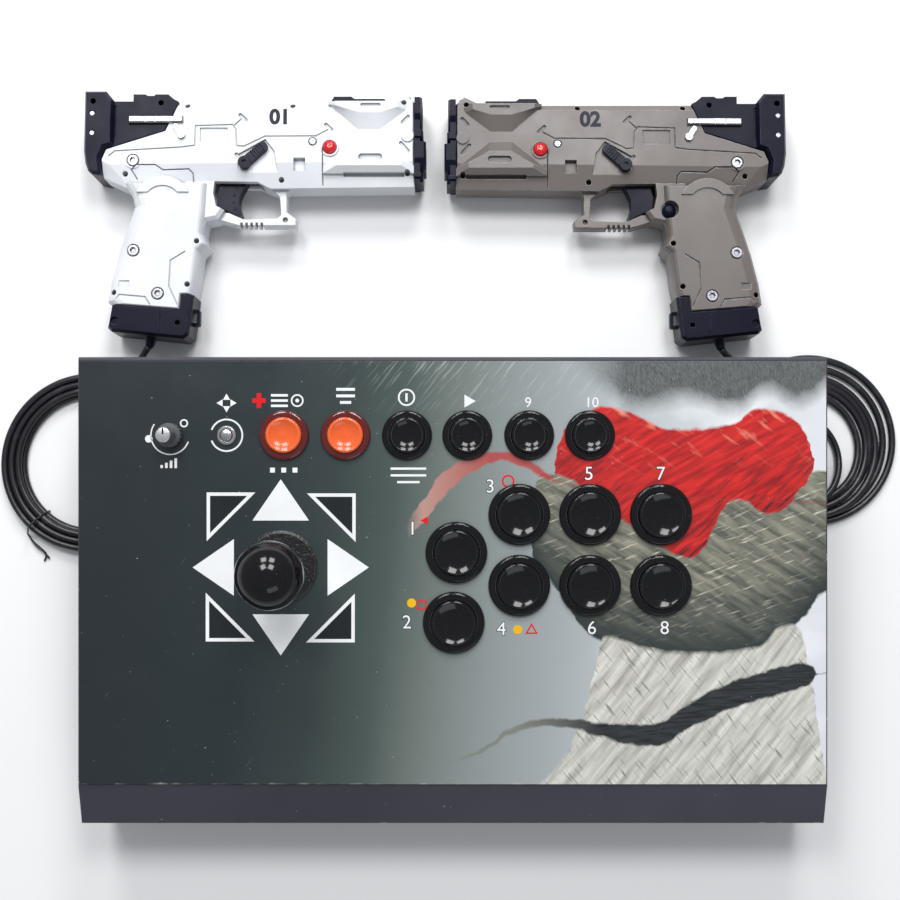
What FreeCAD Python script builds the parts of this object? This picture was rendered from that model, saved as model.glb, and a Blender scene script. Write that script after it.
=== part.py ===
"""Two-player light gun console: an arcade control desk with a joystick, fourteen push buttons
and two wired light guns that lie behind it, each on its own coiled cable.

Millimetres, +Z up, the table at Z = 0. X runs to the player's right and Y away from the player.
The origin is under the middle of the box that holds the desk and both guns.
"""
import FreeCAD
import Part
import math
import os

V = FreeCAD.Vector
EPS = 0.01

# ---- desk: overall sizes -------------------------------------------------------------------
DESK_W = 400.0            # width over the side walls
PANEL_LEN = 229.0         # sloped panel, front edge to back edge
PANEL_SLOPE = 4.0         # degrees, low at the player
PANEL_FRONT_Z = 58.0      # height of the panel's front edge
BAND_RUN = 21.5           # front band, how far it comes forward
BAND_SLOPE = 20.0         # degrees below the panel's edge
SHEET = 2.0               # steel of the top cover
OVERLAY = 0.8             # printed polycarbonate on the panel
FOOT_H = 16.0             # rubber feet, table to pan
FOOT_R = 10.0
PAN_SHEET = 1.5
BACK_EDGE_R = 1.6

# ---- desk: controls, as (across, up the panel from its front edge) --------------------------
MAIN_BUTTONS = {
    "button_main_1": (1.9, 124.5), "button_main_2": (0.5, 87.2),
    "button_main_3": (35.4, 144.7), "button_main_4": (35.4, 106.9),
    "button_main_5": (73.1, 144.7), "button_main_6": (73.1, 106.9),
    "button_main_7": (110.9, 144.7), "button_main_8": (110.9, 106.9),
}
SMALL_ROW_UP = 187.0
SMALL_BUTTONS = {"button_small_1": -24.4, "button_small_2": 7.7,
                 "button_small_3": 40.7, "button_small_4": 73.1}
ORANGE_BUTTONS = {"button_orange_1": -90.0, "button_orange_2": -57.2}
METAL_BUTTON_X = -120.7
KNOB_X = -150.8
STICK_AT = (-91.8, 116.5)

# radius of: panel hole, bezel, barrel, bore, plunger; height of: bezel, plunger above panel
BIG = dict(hole=15.0, bezel=16.5, barrel=14.7, bore=12.6, plunger=12.2, rim=2.8, top=5.2, travel=3.5)
SMALL = dict(hole=12.0, bezel=13.35, barrel=11.7, bore=9.95, plunger=9.6, rim=2.4, top=4.6, travel=3.0)
HOUSING_DEPTH = 20.0

STICK_PIVOT = -14.0       # gimbal axis below the panel's skin
STICK_SHAFT_R = 4.75
BALL_R = 17.5
BALL_UP = 42.0
WASHER_R = 19.7

# ---- guns ---------------------------------------------------------------------------------
GUN_SCALE = 0.987         # the guns are drawn 201 units long and come out 198.4 mm long
GUN_HALF = 15.7           # half of the greatest thickness, so each gun lies on the table
SIDE_W = 12.6             # half thickness of the receiver's flat sides
GRIP_W = 14.0
FRAME_W = 10.0
GUARD_W = 5.0
CAP_W = 11.8              # rear cap where the bright bars lie on it
MUZZLE_W = 13.4
BASE_W = 13.2
LEFT_GUN_X = -213.2       # rear of the left gun, from the desk's middle
LEFT_GUN_Y = 246.3        # foot of its grip, from the panel's front edge
RIGHT_GUN_X = 192.9
RIGHT_GUN_Y = 244.9
GUN_TOP = 145.9
TRIGGER_PIVOT = (100.5, 97.3)
LEVER_PIVOT = (94.1, 103.1)
LEVER_TIP = (104.6, 112.6)
RED_BUTTON_AT = (143.9, 112.5)
LAMP_AT = (133.8, 116.1)
RELEASE_AT = (68.4, 76.8)
CABLE_EXIT = (38.0, 1.9)
RELIEF_TIP = (37.2, -2.3)
RELIEF_R = 2.6

# ---- cables -------------------------------------------------------------------------------
CABLE_D = 4.0
LEFT_COIL = dict(at=(-212.3, 176.0), outer=53.0, inner=38.5, height=11.5, shift=(-1.0, 0.5))
RIGHT_COIL = dict(at=(211.0, 189.4), outer=51.0, inner=27.0, height=11.5, shift=(-9.0, -5.0))
LEFT_LEAD = [(-178.0, 241.0, 14.8), (-183.2, 236.5, 12.4), (-187.9, 229.5, 10.7), (-188.5, 219.2, 9.4)]
LEFT_TAIL = [(-160.2, 166.5, 2.2), (-161.0, 150.0, 2.2), (-155.0, 137.0, 2.2), (-141.5, 130.0, 2.2),
             (-122.0, 126.0, 8.0), (-108.0, 124.6, 23.2)]
RIGHT_LEAD = [(157.6, 239.5, 14.8), (163.5, 235.6, 12.0), (168.6, 228.2, 9.3), (168.5, 217.5, 5.0),
              (163.0, 205.5, 2.6), (160.2, 195.0, 2.2)]
RIGHT_TAIL = [(171.9, 157.3, 2.2), (178.6, 143.8, 2.2), (178.5, 129.5, 2.2), (168.0, 119.8, 2.2),
              (148.8, 115.0, 8.0), (134.6, 112.6, 23.2)]

# the desk's own frame is moved so that the origin is under the middle of desk and guns
SHIFT = V(-(LEFT_GUN_X + DESK_W / 2) / 2, -(LEFT_GUN_Y + GUN_TOP * GUN_SCALE - BAND_RUN) / 2, 0)
SLOPE_RAD = math.radians(PANEL_SLOPE)
PANEL = FreeCAD.Placement(SHIFT + V(0, 0, PANEL_FRONT_Z), FreeCAD.Rotation(V(1, 0, 0), PANEL_SLOPE))
SKIN = OVERLAY            # the overlay's face, in the panel's own frame
NODES = {}


# ---- helpers ------------------------------------------------------------------------------
def box(x0, x1, y0, y1, z0, z1):
    return Part.makeBox(x1 - x0, y1 - y0, z1 - z0, V(x0, y0, z0))


def rod(radius, start, end):
    start, end = V(*start), V(*end)
    return Part.makeCylinder(radius, (end - start).Length, start, end - start)


def cone(r0, r1, start, end):
    start, end = V(*start), V(*end)
    return Part.makeCone(r0, r1, (end - start).Length, start, end - start)


def tube(outer, inner, z0, z1, at=(0, 0)):
    return rod(outer, (*at, z0), (*at, z1)).cut(rod(inner, (*at, z0 - 1), (*at, z1 + 1)))


def outline(points, z=0.0):
    corners = [V(x, y, z) for x, y in points]
    return Part.makePolygon(corners + corners[:1])


def prism(points, z0, z1):
    return Part.Face(outline(points, z0)).extrude(V(0, 0, z1 - z0))


def turned(profile, at=(0, 0)):
    """Solid of revolution about Z. The profile lists (r, z) corners; ("arc", middle, end) bends."""
    first = last = V(profile[0][0], 0, profile[0][1])
    edges = []
    for step in profile[1:] + profile[:1]:
        if step[0] == "arc":
            middle, end = (V(r, 0, z) for r, z in step[1:])
            edges.append(Part.Arc(last, middle, end).toShape())
        else:
            end = V(step[0], 0, step[1])
            if (end - last).Length > EPS:
                edges.append(Part.LineSegment(last, end).toShape())
        last = end
    assert (last - first).Length < EPS
    solid = Part.Face(Part.Wire(edges)).revolve(V(0, 0, 0), V(0, 0, 1), 360)
    solid = Part.Solid(solid.Shells[0]) if solid.ShapeType != "Solid" else solid
    if solid.Volume < 0:
        solid.reverse()
    solid.translate(V(*at, 0))
    return solid


def inset(points, distances):
    """Moves each edge of a closed outline inwards by its own distance."""
    count = len(points)
    turn = sum(points[i][0] * points[(i + 1) % count][1] - points[(i + 1) % count][0] * points[i][1]
               for i in range(count))
    side = 1.0 if turn > 0 else -1.0
    lines = []
    for i, (x0, y0) in enumerate(points):
        x1, y1 = points[(i + 1) % count]
        length = math.hypot(x1 - x0, y1 - y0)
        nx, ny = -(y1 - y0) / length * side, (x1 - x0) / length * side
        lines.append((nx, ny, nx * x0 + ny * y0 + distances[i]))
    corners = []
    for i in range(count):
        a, b, c = lines[i - 1]
        d, e, f = lines[i]
        det = a * e - b * d
        corners.append(((c * e - b * f) / det, (a * f - c * d) / det))
    return corners


def slab(points, flat, top, distances):
    """Upright sides from 0 to flat, then faces that lean in by each edge's distance up to top."""
    lower = prism(points, 0, flat)
    upper = Part.makeLoft([outline(points, flat), outline(inset(points, distances), top)], True, True)
    return lower.fuse(upper)


def rounded_slab(points, flat, top, width, scale=None, steps=4):
    """Like slab, with the leaning faces bent to a quarter round in a few steps."""
    scale = scale or [1.0] * len(points)
    solid = prism(points, 0, flat)
    rings = []
    for step in range(steps + 1):
        angle = math.pi / 2 * step / steps
        lean = width * (1 - math.cos(angle))
        rings.append(outline(inset(points, [lean * s for s in scale]) if step else points,
                             flat + (top - flat) * math.sin(angle)))
    return solid.fuse(Part.makeLoft(rings, True, True))


def fused(shapes):
    shapes = list(shapes)
    solid = shapes[0]
    if len(shapes) > 1:
        solid = solid.multiFuse(shapes[1:])
    return solid.removeSplitter()


def add(node, *shapes, placement=None):
    """Keeps the solids under the node's name, moved by the placement if one is given."""
    placed = []
    for shape in shapes:
        for solid in shape.Solids:
            copy = solid.copy()
            copy.Placement = (placement or FreeCAD.Placement()).multiply(copy.Placement)
            placed.append(copy)
    NODES.setdefault(node, []).extend(placed)


def desk(shape):
    """A shape drawn in the desk's frame, moved to the row's frame."""
    moved = shape.copy()
    moved.translate(SHIFT)
    return moved


def panel_z(y):
    return PANEL_FRONT_Z + y * math.tan(SLOPE_RAD)


# ---- desk: casing ---------------------------------------------------------------------------
def yz_prism(points, x0, x1):
    corners = [V(x0, y, z) for y, z in points]
    return Part.Face(Part.makePolygon(corners + corners[:1])).extrude(V(x1 - x0, 0, 0))


def cover_profile():
    back_y = PANEL_LEN * math.cos(SLOPE_RAD)
    back_z = panel_z(back_y)
    band_z = PANEL_FRONT_Z - BAND_RUN * math.tan(math.radians(BAND_SLOPE))
    return [(-BAND_RUN, FOOT_H), (-BAND_RUN, band_z), (0, PANEL_FRONT_Z), (back_y, back_z), (back_y, FOOT_H)]


BACK_Y = PANEL_LEN * math.cos(SLOPE_RAD)
PAN_TOP = FOOT_H + PAN_SHEET
SCREW_R = 1.5
TAB = 14.0
CASE_SCREWS = [(x, -12.0) for x in (-190.0, 0.0, 190.0)] + [(x, BACK_Y - 9.5) for x in (-190.0, -70.0, 190.0)]
FEET = [(x, BACK_Y / 2 - 10 + y) for x in (-140.0, 140.0) for y in (-85.0, 85.0)]
BOARD = (-50.0, 110.0, 130.0, 214.0)      # x0, x1, y0, y1 of the main board
BOARD_Z = 21.5
BOARD_T = 1.6
BOARD_POSTS = [(x, y) for x in (BOARD[0] + 6, BOARD[1] - 6) for y in (BOARD[2] + 6, BOARD[3] - 14)]
# rear sockets: left side, width, height, all standing on the board
SOCKETS = [(-34.0, 15.0, 6.0), (0.0, 14.0, 7.0), (22.0, 14.0, 7.0), (60.0, 9.5, 8.0)]
ROCKER_AT = (-150.0, 46.0)
ROCKER_W, ROCKER_H = 13.0, 19.2
GLAND_R = 6.4


def panel_tools():
    """Every hole through the skin and the overlay, in the panel's frame."""
    tools = []
    for x, y in MAIN_BUTTONS.values():
        tools.append(rod(BIG["hole"], (x, y, -5), (x, y, 5)))
    for x in list(SMALL_BUTTONS.values()) + list(ORANGE_BUTTONS.values()):
        tools.append(rod(SMALL["hole"], (x, SMALL_ROW_UP, -5), (x, SMALL_ROW_UP, 5)))
    tools.append(rod(4.8, (METAL_BUTTON_X, SMALL_ROW_UP, -5), (METAL_BUTTON_X, SMALL_ROW_UP, 5)))
    tools.append(rod(3.7, (KNOB_X, SMALL_ROW_UP, -5), (KNOB_X, SMALL_ROW_UP, 5)))
    tools.append(rod(9.2, (*STICK_AT, -5), (*STICK_AT, 5)))
    for tool in tools:
        tool.Placement = PANEL.multiply(tool.Placement)
    return tools


def gland_line(tail):
    """Where a cable's last straight run crosses the middle of the pan, and its direction."""
    start, end = V(*tail[-2]), V(*tail[-1])
    share = (FOOT_H + PAN_SHEET / 2 - start.z) / (end.z - start.z)
    return start + (end - start) * share, (end - start).normalize()


def top_cover():
    outer = yz_prism(cover_profile(), -DESK_W / 2, DESK_W / 2)
    for edge in outer.Edges:
        middle = edge.CenterOfMass
        if abs(middle.x) < EPS and abs(middle.y - BACK_Y) < EPS and middle.z > PANEL_FRONT_Z:
            outer = outer.makeFillet(BACK_EDGE_R, [edge])
            break
    inner_profile = inset(cover_profile(), [SHEET] * 5)
    inner_profile[0] = (inner_profile[0][0], 0.0)
    inner_profile[-1] = (inner_profile[-1][0], 0.0)
    inner = yz_prism(inner_profile, -DESK_W / 2 + SHEET, DESK_W / 2 - SHEET)
    cover = outer.cut(inner)
    tabs = []
    for x, y in CASE_SCREWS:
        wall_y = -BAND_RUN + SHEET / 2 if y < 0 else BACK_Y - SHEET / 2
        tabs.append(box(x - TAB / 2, x + TAB / 2, min(y - TAB / 2 + 2, wall_y), max(y + TAB / 2 - 2, wall_y),
                        PAN_TOP, PAN_TOP + 8))
    cover = fused([cover] + [tab.common(box(-199, 199, -21, BACK_Y - 0.5, 0, 60)) for tab in tabs])
    holes = [rod(SCREW_R, (x, y, PAN_TOP - 1), (x, y, PAN_TOP + 9)) for x, y in CASE_SCREWS]
    port_z = BOARD_Z + BOARD_T
    gap = 0.4
    for x, width, height in SOCKETS:
        holes.append(box(x - gap, x + width + gap, BACK_Y - 5, BACK_Y + 1, port_z - gap,
                         port_z + height + gap))
    x, z = ROCKER_AT
    holes.append(box(x - ROCKER_W / 2, x + ROCKER_W / 2, BACK_Y - 5, BACK_Y + 1,
                     z - ROCKER_H / 2, z + ROCKER_H / 2))
    cover = desk(cover.cut(holes))
    add("top_cover", cover.cut(panel_tools()))


def panel_overlay():
    skin = box(-DESK_W / 2 + 0.8, DESK_W / 2 - 0.8, 0.8, PANEL_LEN - BACK_EDGE_R - 0.8, 0, OVERLAY)
    skin.Placement = PANEL
    add("panel_overlay", skin.cut(panel_tools()))


def bottom_pan():
    side = DESK_W / 2 - SHEET - 0.3
    pan = box(-side, side, -BAND_RUN + SHEET + 0.3, BACK_Y - SHEET - 0.3, FOOT_H, PAN_TOP)
    tools = [rod(SCREW_R, (x, y, 10), (x, y, 20)) for x, y in CASE_SCREWS + FEET]
    for tail in (LEFT_TAIL, RIGHT_TAIL):
        centre, _ = gland_line(tail)
        tools.append(rod(GLAND_R, (centre.x, centre.y, 10), (centre.x, centre.y, 20)))
    for i in range(9):
        x = BOARD[0] + 20 + i * 14
        tools.append(box(x, x + 4, 30, 90, 10, 20))
    posts = [rod(3.0, (x, y, PAN_TOP), (x, y, BOARD_Z)) for x, y in BOARD_POSTS]
    add("bottom_pan", fused([pan.cut(tools)] + posts), placement=FreeCAD.Placement(SHIFT, FreeCAD.Rotation()))


def feet_and_grommets():
    for x, y in FEET:
        foot = turned([(3.4, 0), (8.6, 0), (9.4, 0.8), (FOOT_R, FOOT_H), (SCREW_R, FOOT_H), (SCREW_R, 5),
                       (3.4, 5)],
                      (x, y))
        add("rubber_feet_and_grommets", desk(foot))
    for tail in (LEFT_TAIL, RIGHT_TAIL):
        centre, way = gland_line(tail)
        ring = turned([(0, 13.8), (8.2, 13.8), (9.0, 14.6), (9.0, FOOT_H), (GLAND_R, FOOT_H),
                       (GLAND_R, PAN_TOP),
                       (9.0, PAN_TOP), (9.0, 18.9), (8.2, 19.7), (0, 19.7)], (centre.x, centre.y))
        bore = rod(CABLE_D / 2, tuple(centre - way * 20), tuple(centre + way * 20))
        add("rubber_feet_and_grommets", desk(ring.cut(bore)))


def case_screws():
    for x, y in CASE_SCREWS:
        low = FOOT_H - 1.9
        head = turned([(0, low), (2.2, low), (2.8, low + 0.6), (2.8, FOOT_H), (0, FOOT_H)], (x, y))
        slot = box(x - 1.6, x + 1.6, y - 0.4, y + 0.4, 13, 14.9).fuse(
            box(x - 0.4, x + 0.4, y - 1.6, y + 1.6, 13, 14.9))
        screw = head.fuse(rod(SCREW_R, (x, y, FOOT_H - 0.5), (x, y, PAN_TOP + 6.5))).cut(slot)
        add("case_screws", desk(screw))
    for x, y in FEET:
        head = turned([(0, 2.4), (2.9, 2.4), (2.9, 4.99), (0, 4.99)], (x, y))
        add("case_screws", desk(head.fuse(rod(SCREW_R, (x, y, 4.5), (x, y, PAN_TOP + 2)))))


def main_board():
    x0, x1, y0, y1 = BOARD
    top = BOARD_Z + BOARD_T
    board = box(x0, x1, y0, y1, BOARD_Z, top)
    add("main_board", desk(board))
    chips = [(10, 40, 24, 24, 3.0), (42, 44, 16, 12, 1.2), (42, 22, 16, 12, 1.2), (90, 30, 12, 20, 1.6),
             (112, 12, 34, 6, 6.0), (64, 12, 34, 6, 6.0), (130, 40, 10, 10, 5.5), (14, 14, 10, 10, 2.0)]
    for x, y, w, d, h in chips:
        add("main_board", desk(box(x0 + x, x0 + x + w, y0 + y, y0 + y + d, top, top + h)))
    for i in range(4):
        centre = (x0 + 118 + 8 * (i % 2), y0 + 24 + 8 * (i // 2))
        add("main_board", desk(rod(3.0, (*centre, top), (*centre, top + 7))))


def rear_ports():
    top = BOARD_Z + BOARD_T
    for x, width, height in SOCKETS:
        shell = box(x, x + width, BACK_Y - 15, BACK_Y - 0.2, top, top + height)
        if width < 10:
            cx, cz = x + width / 2, top + height / 2
            shell = shell.cut(rod(2.75, (cx, BACK_Y - 10, cz), (cx, BACK_Y + 1, cz)))
            shell = shell.fuse(rod(1.0, (cx, BACK_Y - 10.5, cz), (cx, BACK_Y - 1.5, cz)))
        else:
            shell = shell.cut(box(x + 0.6, x + width - 0.6, BACK_Y - 9, BACK_Y + 1, top + 0.6,
                                  top + height - 0.6))
            shell = shell.fuse(box(x + 2, x + width - 2, BACK_Y - 9.5, BACK_Y - 1.5,
                                   top + height / 2 - 0.8, top + height / 2 + 0.8))
        add("rear_ports", desk(shell))
    x, z = ROCKER_AT
    frame = box(x - 7.5, x + 7.5, BACK_Y, BACK_Y + 1.6, z - 10.5, z + 10.5)
    barrel = box(x - ROCKER_W / 2, x + ROCKER_W / 2, BACK_Y - 16, BACK_Y, z - ROCKER_H / 2, z + ROCKER_H / 2)
    well = box(x - 5.4, x + 5.4, BACK_Y - 12, BACK_Y + 3, z - 8.2, z + 8.2)
    blades = [box(x - 3, x + 3, BACK_Y - 22, BACK_Y - 15.5, z + dz - 0.4, z + dz + 0.4) for dz in (-6, 6)]
    add("rear_ports", desk(fused([frame, barrel]).cut(well).fuse(blades)))


ROCKER_TILT = 8.0
ROCKER_AXIS_Y = BACK_Y - 1.0


def rocker():
    x, z = ROCKER_AT
    face = [(2.9, -7.3), (1.7, 0), (2.9, 7.3), (-2.0, 7.0), (-8.0, 2.5), (-8.0, -2.5), (-2.0, -7.0)]
    paddle = yz_prism([(ROCKER_AXIS_Y + out, z + up) for out, up in face], x - 5.0, x + 5.0)
    paddle.rotate(V(x, ROCKER_AXIS_Y, z), V(1, 0, 0), -ROCKER_TILT)
    add("power_rocker", desk(paddle))


# ---- desk: buttons, knob and stick, all drawn in the panel's frame ---------------------------
def housing(spec, at):
    rim = SKIN + spec["rim"]
    bezel, barrel, bore = spec["bezel"], spec["barrel"], spec["bore"]
    return turned([(bore, rim), (bezel - 1.9, rim), ("arc", (bezel - 0.5, rim - 0.5), (bezel, rim - 1.9)),
                   (bezel, SKIN), (barrel, SKIN), (barrel, -HOUSING_DEPTH), (2.3, -HOUSING_DEPTH),
                   (2.3, -HOUSING_DEPTH + 2), (bore, -HOUSING_DEPTH + 2)], at)


def plunger(spec, at):
    top, r = SKIN + spec["top"], spec["plunger"]
    return turned([(0, top - 1.7), ("arc", (0.6 * r, top - 1.15), (r - 1.4, top)),
                   ("arc", (r - 0.35, top - 0.4), (r, top - 1.4)), (r, -9), (1.8, -9), (1.8, -16.2),
                   (0, -16.2)], at)


def buttons():
    groups = [(BIG, MAIN_BUTTONS, "black_button_housings"),
              (SMALL, {n: (x, SMALL_ROW_UP) for n, x in SMALL_BUTTONS.items()}, "black_button_housings"),
              (SMALL, {n: (x, SMALL_ROW_UP) for n, x in ORANGE_BUTTONS.items()}, "red_button_housings")]
    for spec, places, housing_node in groups:
        for name, (x, y) in places.items():
            add(housing_node, housing(spec, (x, y)), placement=PANEL)
            add(name, plunger(spec, (x, y)), placement=PANEL)
            nut = tube(spec["barrel"] + 2.6, spec["barrel"], -SHEET - 4.5, -SHEET, (x, y))
            add("button_nuts", nut, placement=PANEL)
            switch = box(x - 9.8, x + 9.8, y - 3.2, y + 3.2, -HOUSING_DEPTH - 10, -HOUSING_DEPTH)
            legs = [box(x + dx - 1.5, x + dx + 1.5, y - 0.3, y + 0.3, -HOUSING_DEPTH - 15,
                        -HOUSING_DEPTH - 9.5)
                    for dx in (-7, 0, 7)]
            add("button_microswitches", switch.fuse(legs), placement=PANEL)


def metal_button():
    at = (METAL_BUTTON_X, SMALL_ROW_UP)
    body = turned([(3.5, SKIN + 1.4), (4.6, SKIN + 1.4), (5.15, SKIN + 0.9), (5.15, SKIN), (4.6, SKIN),
                   (4.6, -16), (0, -16), (0, -14), (3.5, -14)], at)
    add("panel_control_bodies", body, tube(7.0, 4.6, -SHEET - 3, -SHEET, at), placement=PANEL)
    cap = turned([(0, SKIN + 2.3), ("arc", (1.8, SKIN + 2.2), (2.9, SKIN + 1.9)), (3.15, SKIN + 1.6),
                  (3.15, -9),
                  (0, -9)], at)
    add("metal_push_button", cap, placement=PANEL)


def volume_knob():
    x, y = KNOB_X, SMALL_ROW_UP
    pot = fused([box(x - 8.5, x + 8.5, y - 8.5, y + 8.5, -15, -8), rod(3.6, (x, y, -8), (x, y, SKIN + 3)),
                 rod(5.3, (x, y, SKIN), (x, y, SKIN + 1.6))])
    pot = pot.cut(rod(3.1, (x, y, -8), (x, y, 9)))
    add("panel_control_bodies", pot, tube(6.0, 3.6, -SHEET - 2.5, -SHEET, (x, y)), placement=PANEL)
    knob = turned([(0, SKIN + 16.6), (3.4, SKIN + 16.6), (4.0, SKIN + 16.0), (4.6, SKIN + 7),
                   (6.3, SKIN + 5.2),
                   (6.5, SKIN + 4.6), (6.5, SKIN + 0.4), (5.8, SKIN + 0.4), (5.8, SKIN + 3.5),
                   (3.0, SKIN + 3.5),
                   (3.0, SKIN + 12), (0, SKIN + 12)], (x, y))
    ribs = [rod(0.45, (x + 6.5 * math.cos(a), y + 6.5 * math.sin(a), SKIN + 0.2),
                (x + 6.5 * math.cos(a), y + 6.5 * math.sin(a), SKIN + 4.8))
            for a in (math.pi * i / 9 for i in range(18))]
    pointer = box(x - 0.5, x + 0.5, y + 0.6, y + 4.4, SKIN + 15.8, SKIN + 18)
    shaft = rod(3.0, (x, y, -7.6), (x, y, SKIN + 12))
    add("volume_knob", knob.cut(ribs + [pointer]), shaft, placement=PANEL)


def joystick():
    x, y = STICK_AT
    pivot = STICK_PIVOT
    under = -SHEET
    plate = box(x - 33, x + 33, y - 48, y + 48, under - 2, under)
    case = box(x - 30, x + 30, y - 30, y + 30, -37, under - 2)
    well = rod(22, (x, y, -35), (x, y, under - 1)).fuse(rod(10, (x, y, -35), (x, y, 1)))
    side_bores = rod(2.06, (x - 28.5, y, pivot), (x + 28.5, y, pivot))
    frame = fused([plate, case]).cut([well, side_bores])
    add("joystick_frame", frame, placement=PANEL)
    for dx, dy in ((1, 0), (-1, 0), (0, 1), (0, -1)):
        centre = (x + 17 * dx, y + 17 * dy)
        half_x, half_y = (3.2, 7.0) if dx else (7.0, 3.2)
        switch = box(-half_x, half_x, -half_y, half_y, -35, -28.5)
        switch.translate(V(*centre, 0))
        add("joystick_frame", switch, placement=PANEL)
    washer = turned([(8.6, SKIN + 1.3), (WASHER_R - 1.2, SKIN + 1.3), (WASHER_R, SKIN + 0.6),
                     (WASHER_R, SKIN),
                     (8.6, SKIN)], (x, y))
    add("dust_washer", washer, placement=PANEL)
    ring = tube(13.0, 9.0, pivot - 4, pivot + 4, (x, y))
    pins = [rod(2.0, (x + side * 28, y, pivot), (x + side * 10, y, pivot)) for side in (-1, 1)]
    gimbal = fused([ring] + pins).cut(rod(2.06, (x, y - 15, pivot), (x, y + 15, pivot)))
    add("joystick_gimbal", gimbal, placement=PANEL)
    shaft = fused([rod(STICK_SHAFT_R, (x, y, -33), (x, y, BALL_UP - 4)),
                   rod(2.0, (x, y - 12.6, pivot), (x, y + 12.6, pivot)),
                   rod(7.5, (x, y, -33.5), (x, y, -26)),
                   cone(6.4, STICK_SHAFT_R, (x, y, BALL_UP - 19), (x, y, BALL_UP - 12))])
    ball = Part.makeSphere(BALL_R, V(x, y, BALL_UP)).cut(
        box(x - 20, x + 20, y - 20, y + 20, 0, BALL_UP - 16.2))
    add("joystick_shaft", shaft, placement=PANEL)
    add("ball_top", ball.cut(shaft), placement=PANEL)


# ---- guns: u runs to the muzzle, v up the gun, w out of its right side ------------------------
RECEIVER = [(10.4, 95.5), (9.2, 105.5), (12.0, 112.2), (46.5, 123.2), (50.9, 132.3), (54.6, 140.4),
            (178.0, 140.4), (188.5, 145.5), (193.5, 141.0), (193.5, 90.0), (27.0, 88.0)]
RECEIVER_LEAN = [1.0, 1.0, 1.0, 1.0, 1.0, 4.0, 3.0, 2.0, 1.0, 14.5, 8.0]
LOWER_LEAN_TOP = 104.2    # height where the receiver's lower faces begin to lean in
LOWER_LEAN_DEPTH = 4.0
GRIP = [(57.2, 16.1), (58.2, 24.8), (64.3, 25.2), (66.0, 33.3), (68.0, 50.8), (72.4, 54.9), (69.7, 61.6),
        (71.0, 74.0), (72.0, 92.0), (22.5, 92.0), (27.4, 84.0), (28.9, 77.8), (24.8, 65.7), (20.1, 50.8),
        (16.0, 34.0), (14.2, 21.4), (16.4, 19.33)]
GRIP_LEAN = [0.15, 0.15] + [0.4] * 6 + [0.2] + [1.0] * 6 + [0.8, 0.15]
FRAME = [(57.0, 95.0), (57.0, 64.5), (69.2, 63.2), (71.0, 69.5), (78.0, 71.0), (82.0, 77.0), (80.0, 86.0),
         (86.0, 95.0)]
GUARD = [(66.0, 70.5), (70.7, 69.4), (75.2, 71.8), (89.9, 67.6), (123.5, 67.6), (123.8, 71.8),
         (118.1, 76.0), (118.1, 87.0), (122.5, 91.0), (122.5, 95.0), (66.0, 95.0)]
GUARD_HOLE = [(76.0, 93.1), (94.4, 92.9), (101.0, 92.8), (110.6, 88.1), (113.9, 85.1), (114.8, 74.2),
              (112.4, 72.1),
              (92.6, 71.5), (77.0, 78.4), (75.2, 86.2)]
TRIGGER = [(76.4, 86.0), (78.4, 92.0), (84.0, 99.4), (97.0, 100.0), (104.0, 99.0), (104.0, 94.6),
           (94.6, 94.4),
           (92.0, 89.8), (89.8, 85.1), (89.6, 80.2), (91.4, 75.0), (90.4, 73.2), (77.8, 79.2)]
TRIGGER_POCKET = [(70.8, 75.5), (69.6, 86.0), (74.0, 101.8), (106.0, 101.8), (106.0, 91.5), (88.0, 91.5),
                  (84.0, 75.4)]
TRIGGER_HALF = 4.6
GRIP_HOLLOW = [(24.5, 24.0), (56.0, 24.0), (60.0, 60.0), (60.0, 92.0), (36.0, 92.0), (30.0, 60.0)]
WALL = 5.4                # shell's side wall, thick enough for the grooves and pockets in it
CAP = [(0.0, GUN_TOP), (12.4, GUN_TOP), (17.0, 140.4), (28.0, 140.4), (28.0, 144.7), (35.1, 144.7),
       (36.3, 143.8),
       (40.2, 143.8), (41.2, 144.7), (48.5, 144.7), (51.9, 141.8), (54.6, 140.4), (50.9, 132.3),
       (46.5, 123.2),
       (12.0, 112.2), (9.2, 105.5), (10.4, 95.5), (4.6, 96.6), (2.6, 98.4), (1.0, 102.8), (0.0, 109.9)]
CAP_BLOCK = [(0.0, GUN_TOP), (12.4, GUN_TOP), (17.0, 140.4), (17.0, 113.8), (12.0, 112.2), (9.2, 105.5),
             (10.4, 95.5),
             (4.6, 96.6), (2.6, 98.4), (1.0, 102.8), (0.0, 109.9)]
BASE = [(17.4, 19.25), (57.2, 16.1), (58.2, 24.8), (65.1, 25.2), (62.4, 1.7), (59.3, -0.5), (17.4, 3.8),
        (15.2, 6.0), (15.8, 9.0)]
BASE_LEAN = [0.1, 0.1, 0.1] + [1.5] * 4 + [1.0, 1.0]
MUZZLE_BACK = 193.5       # front face of the receiver
MUZZLE_CORE = 196.8       # front face of the ring's core
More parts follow.
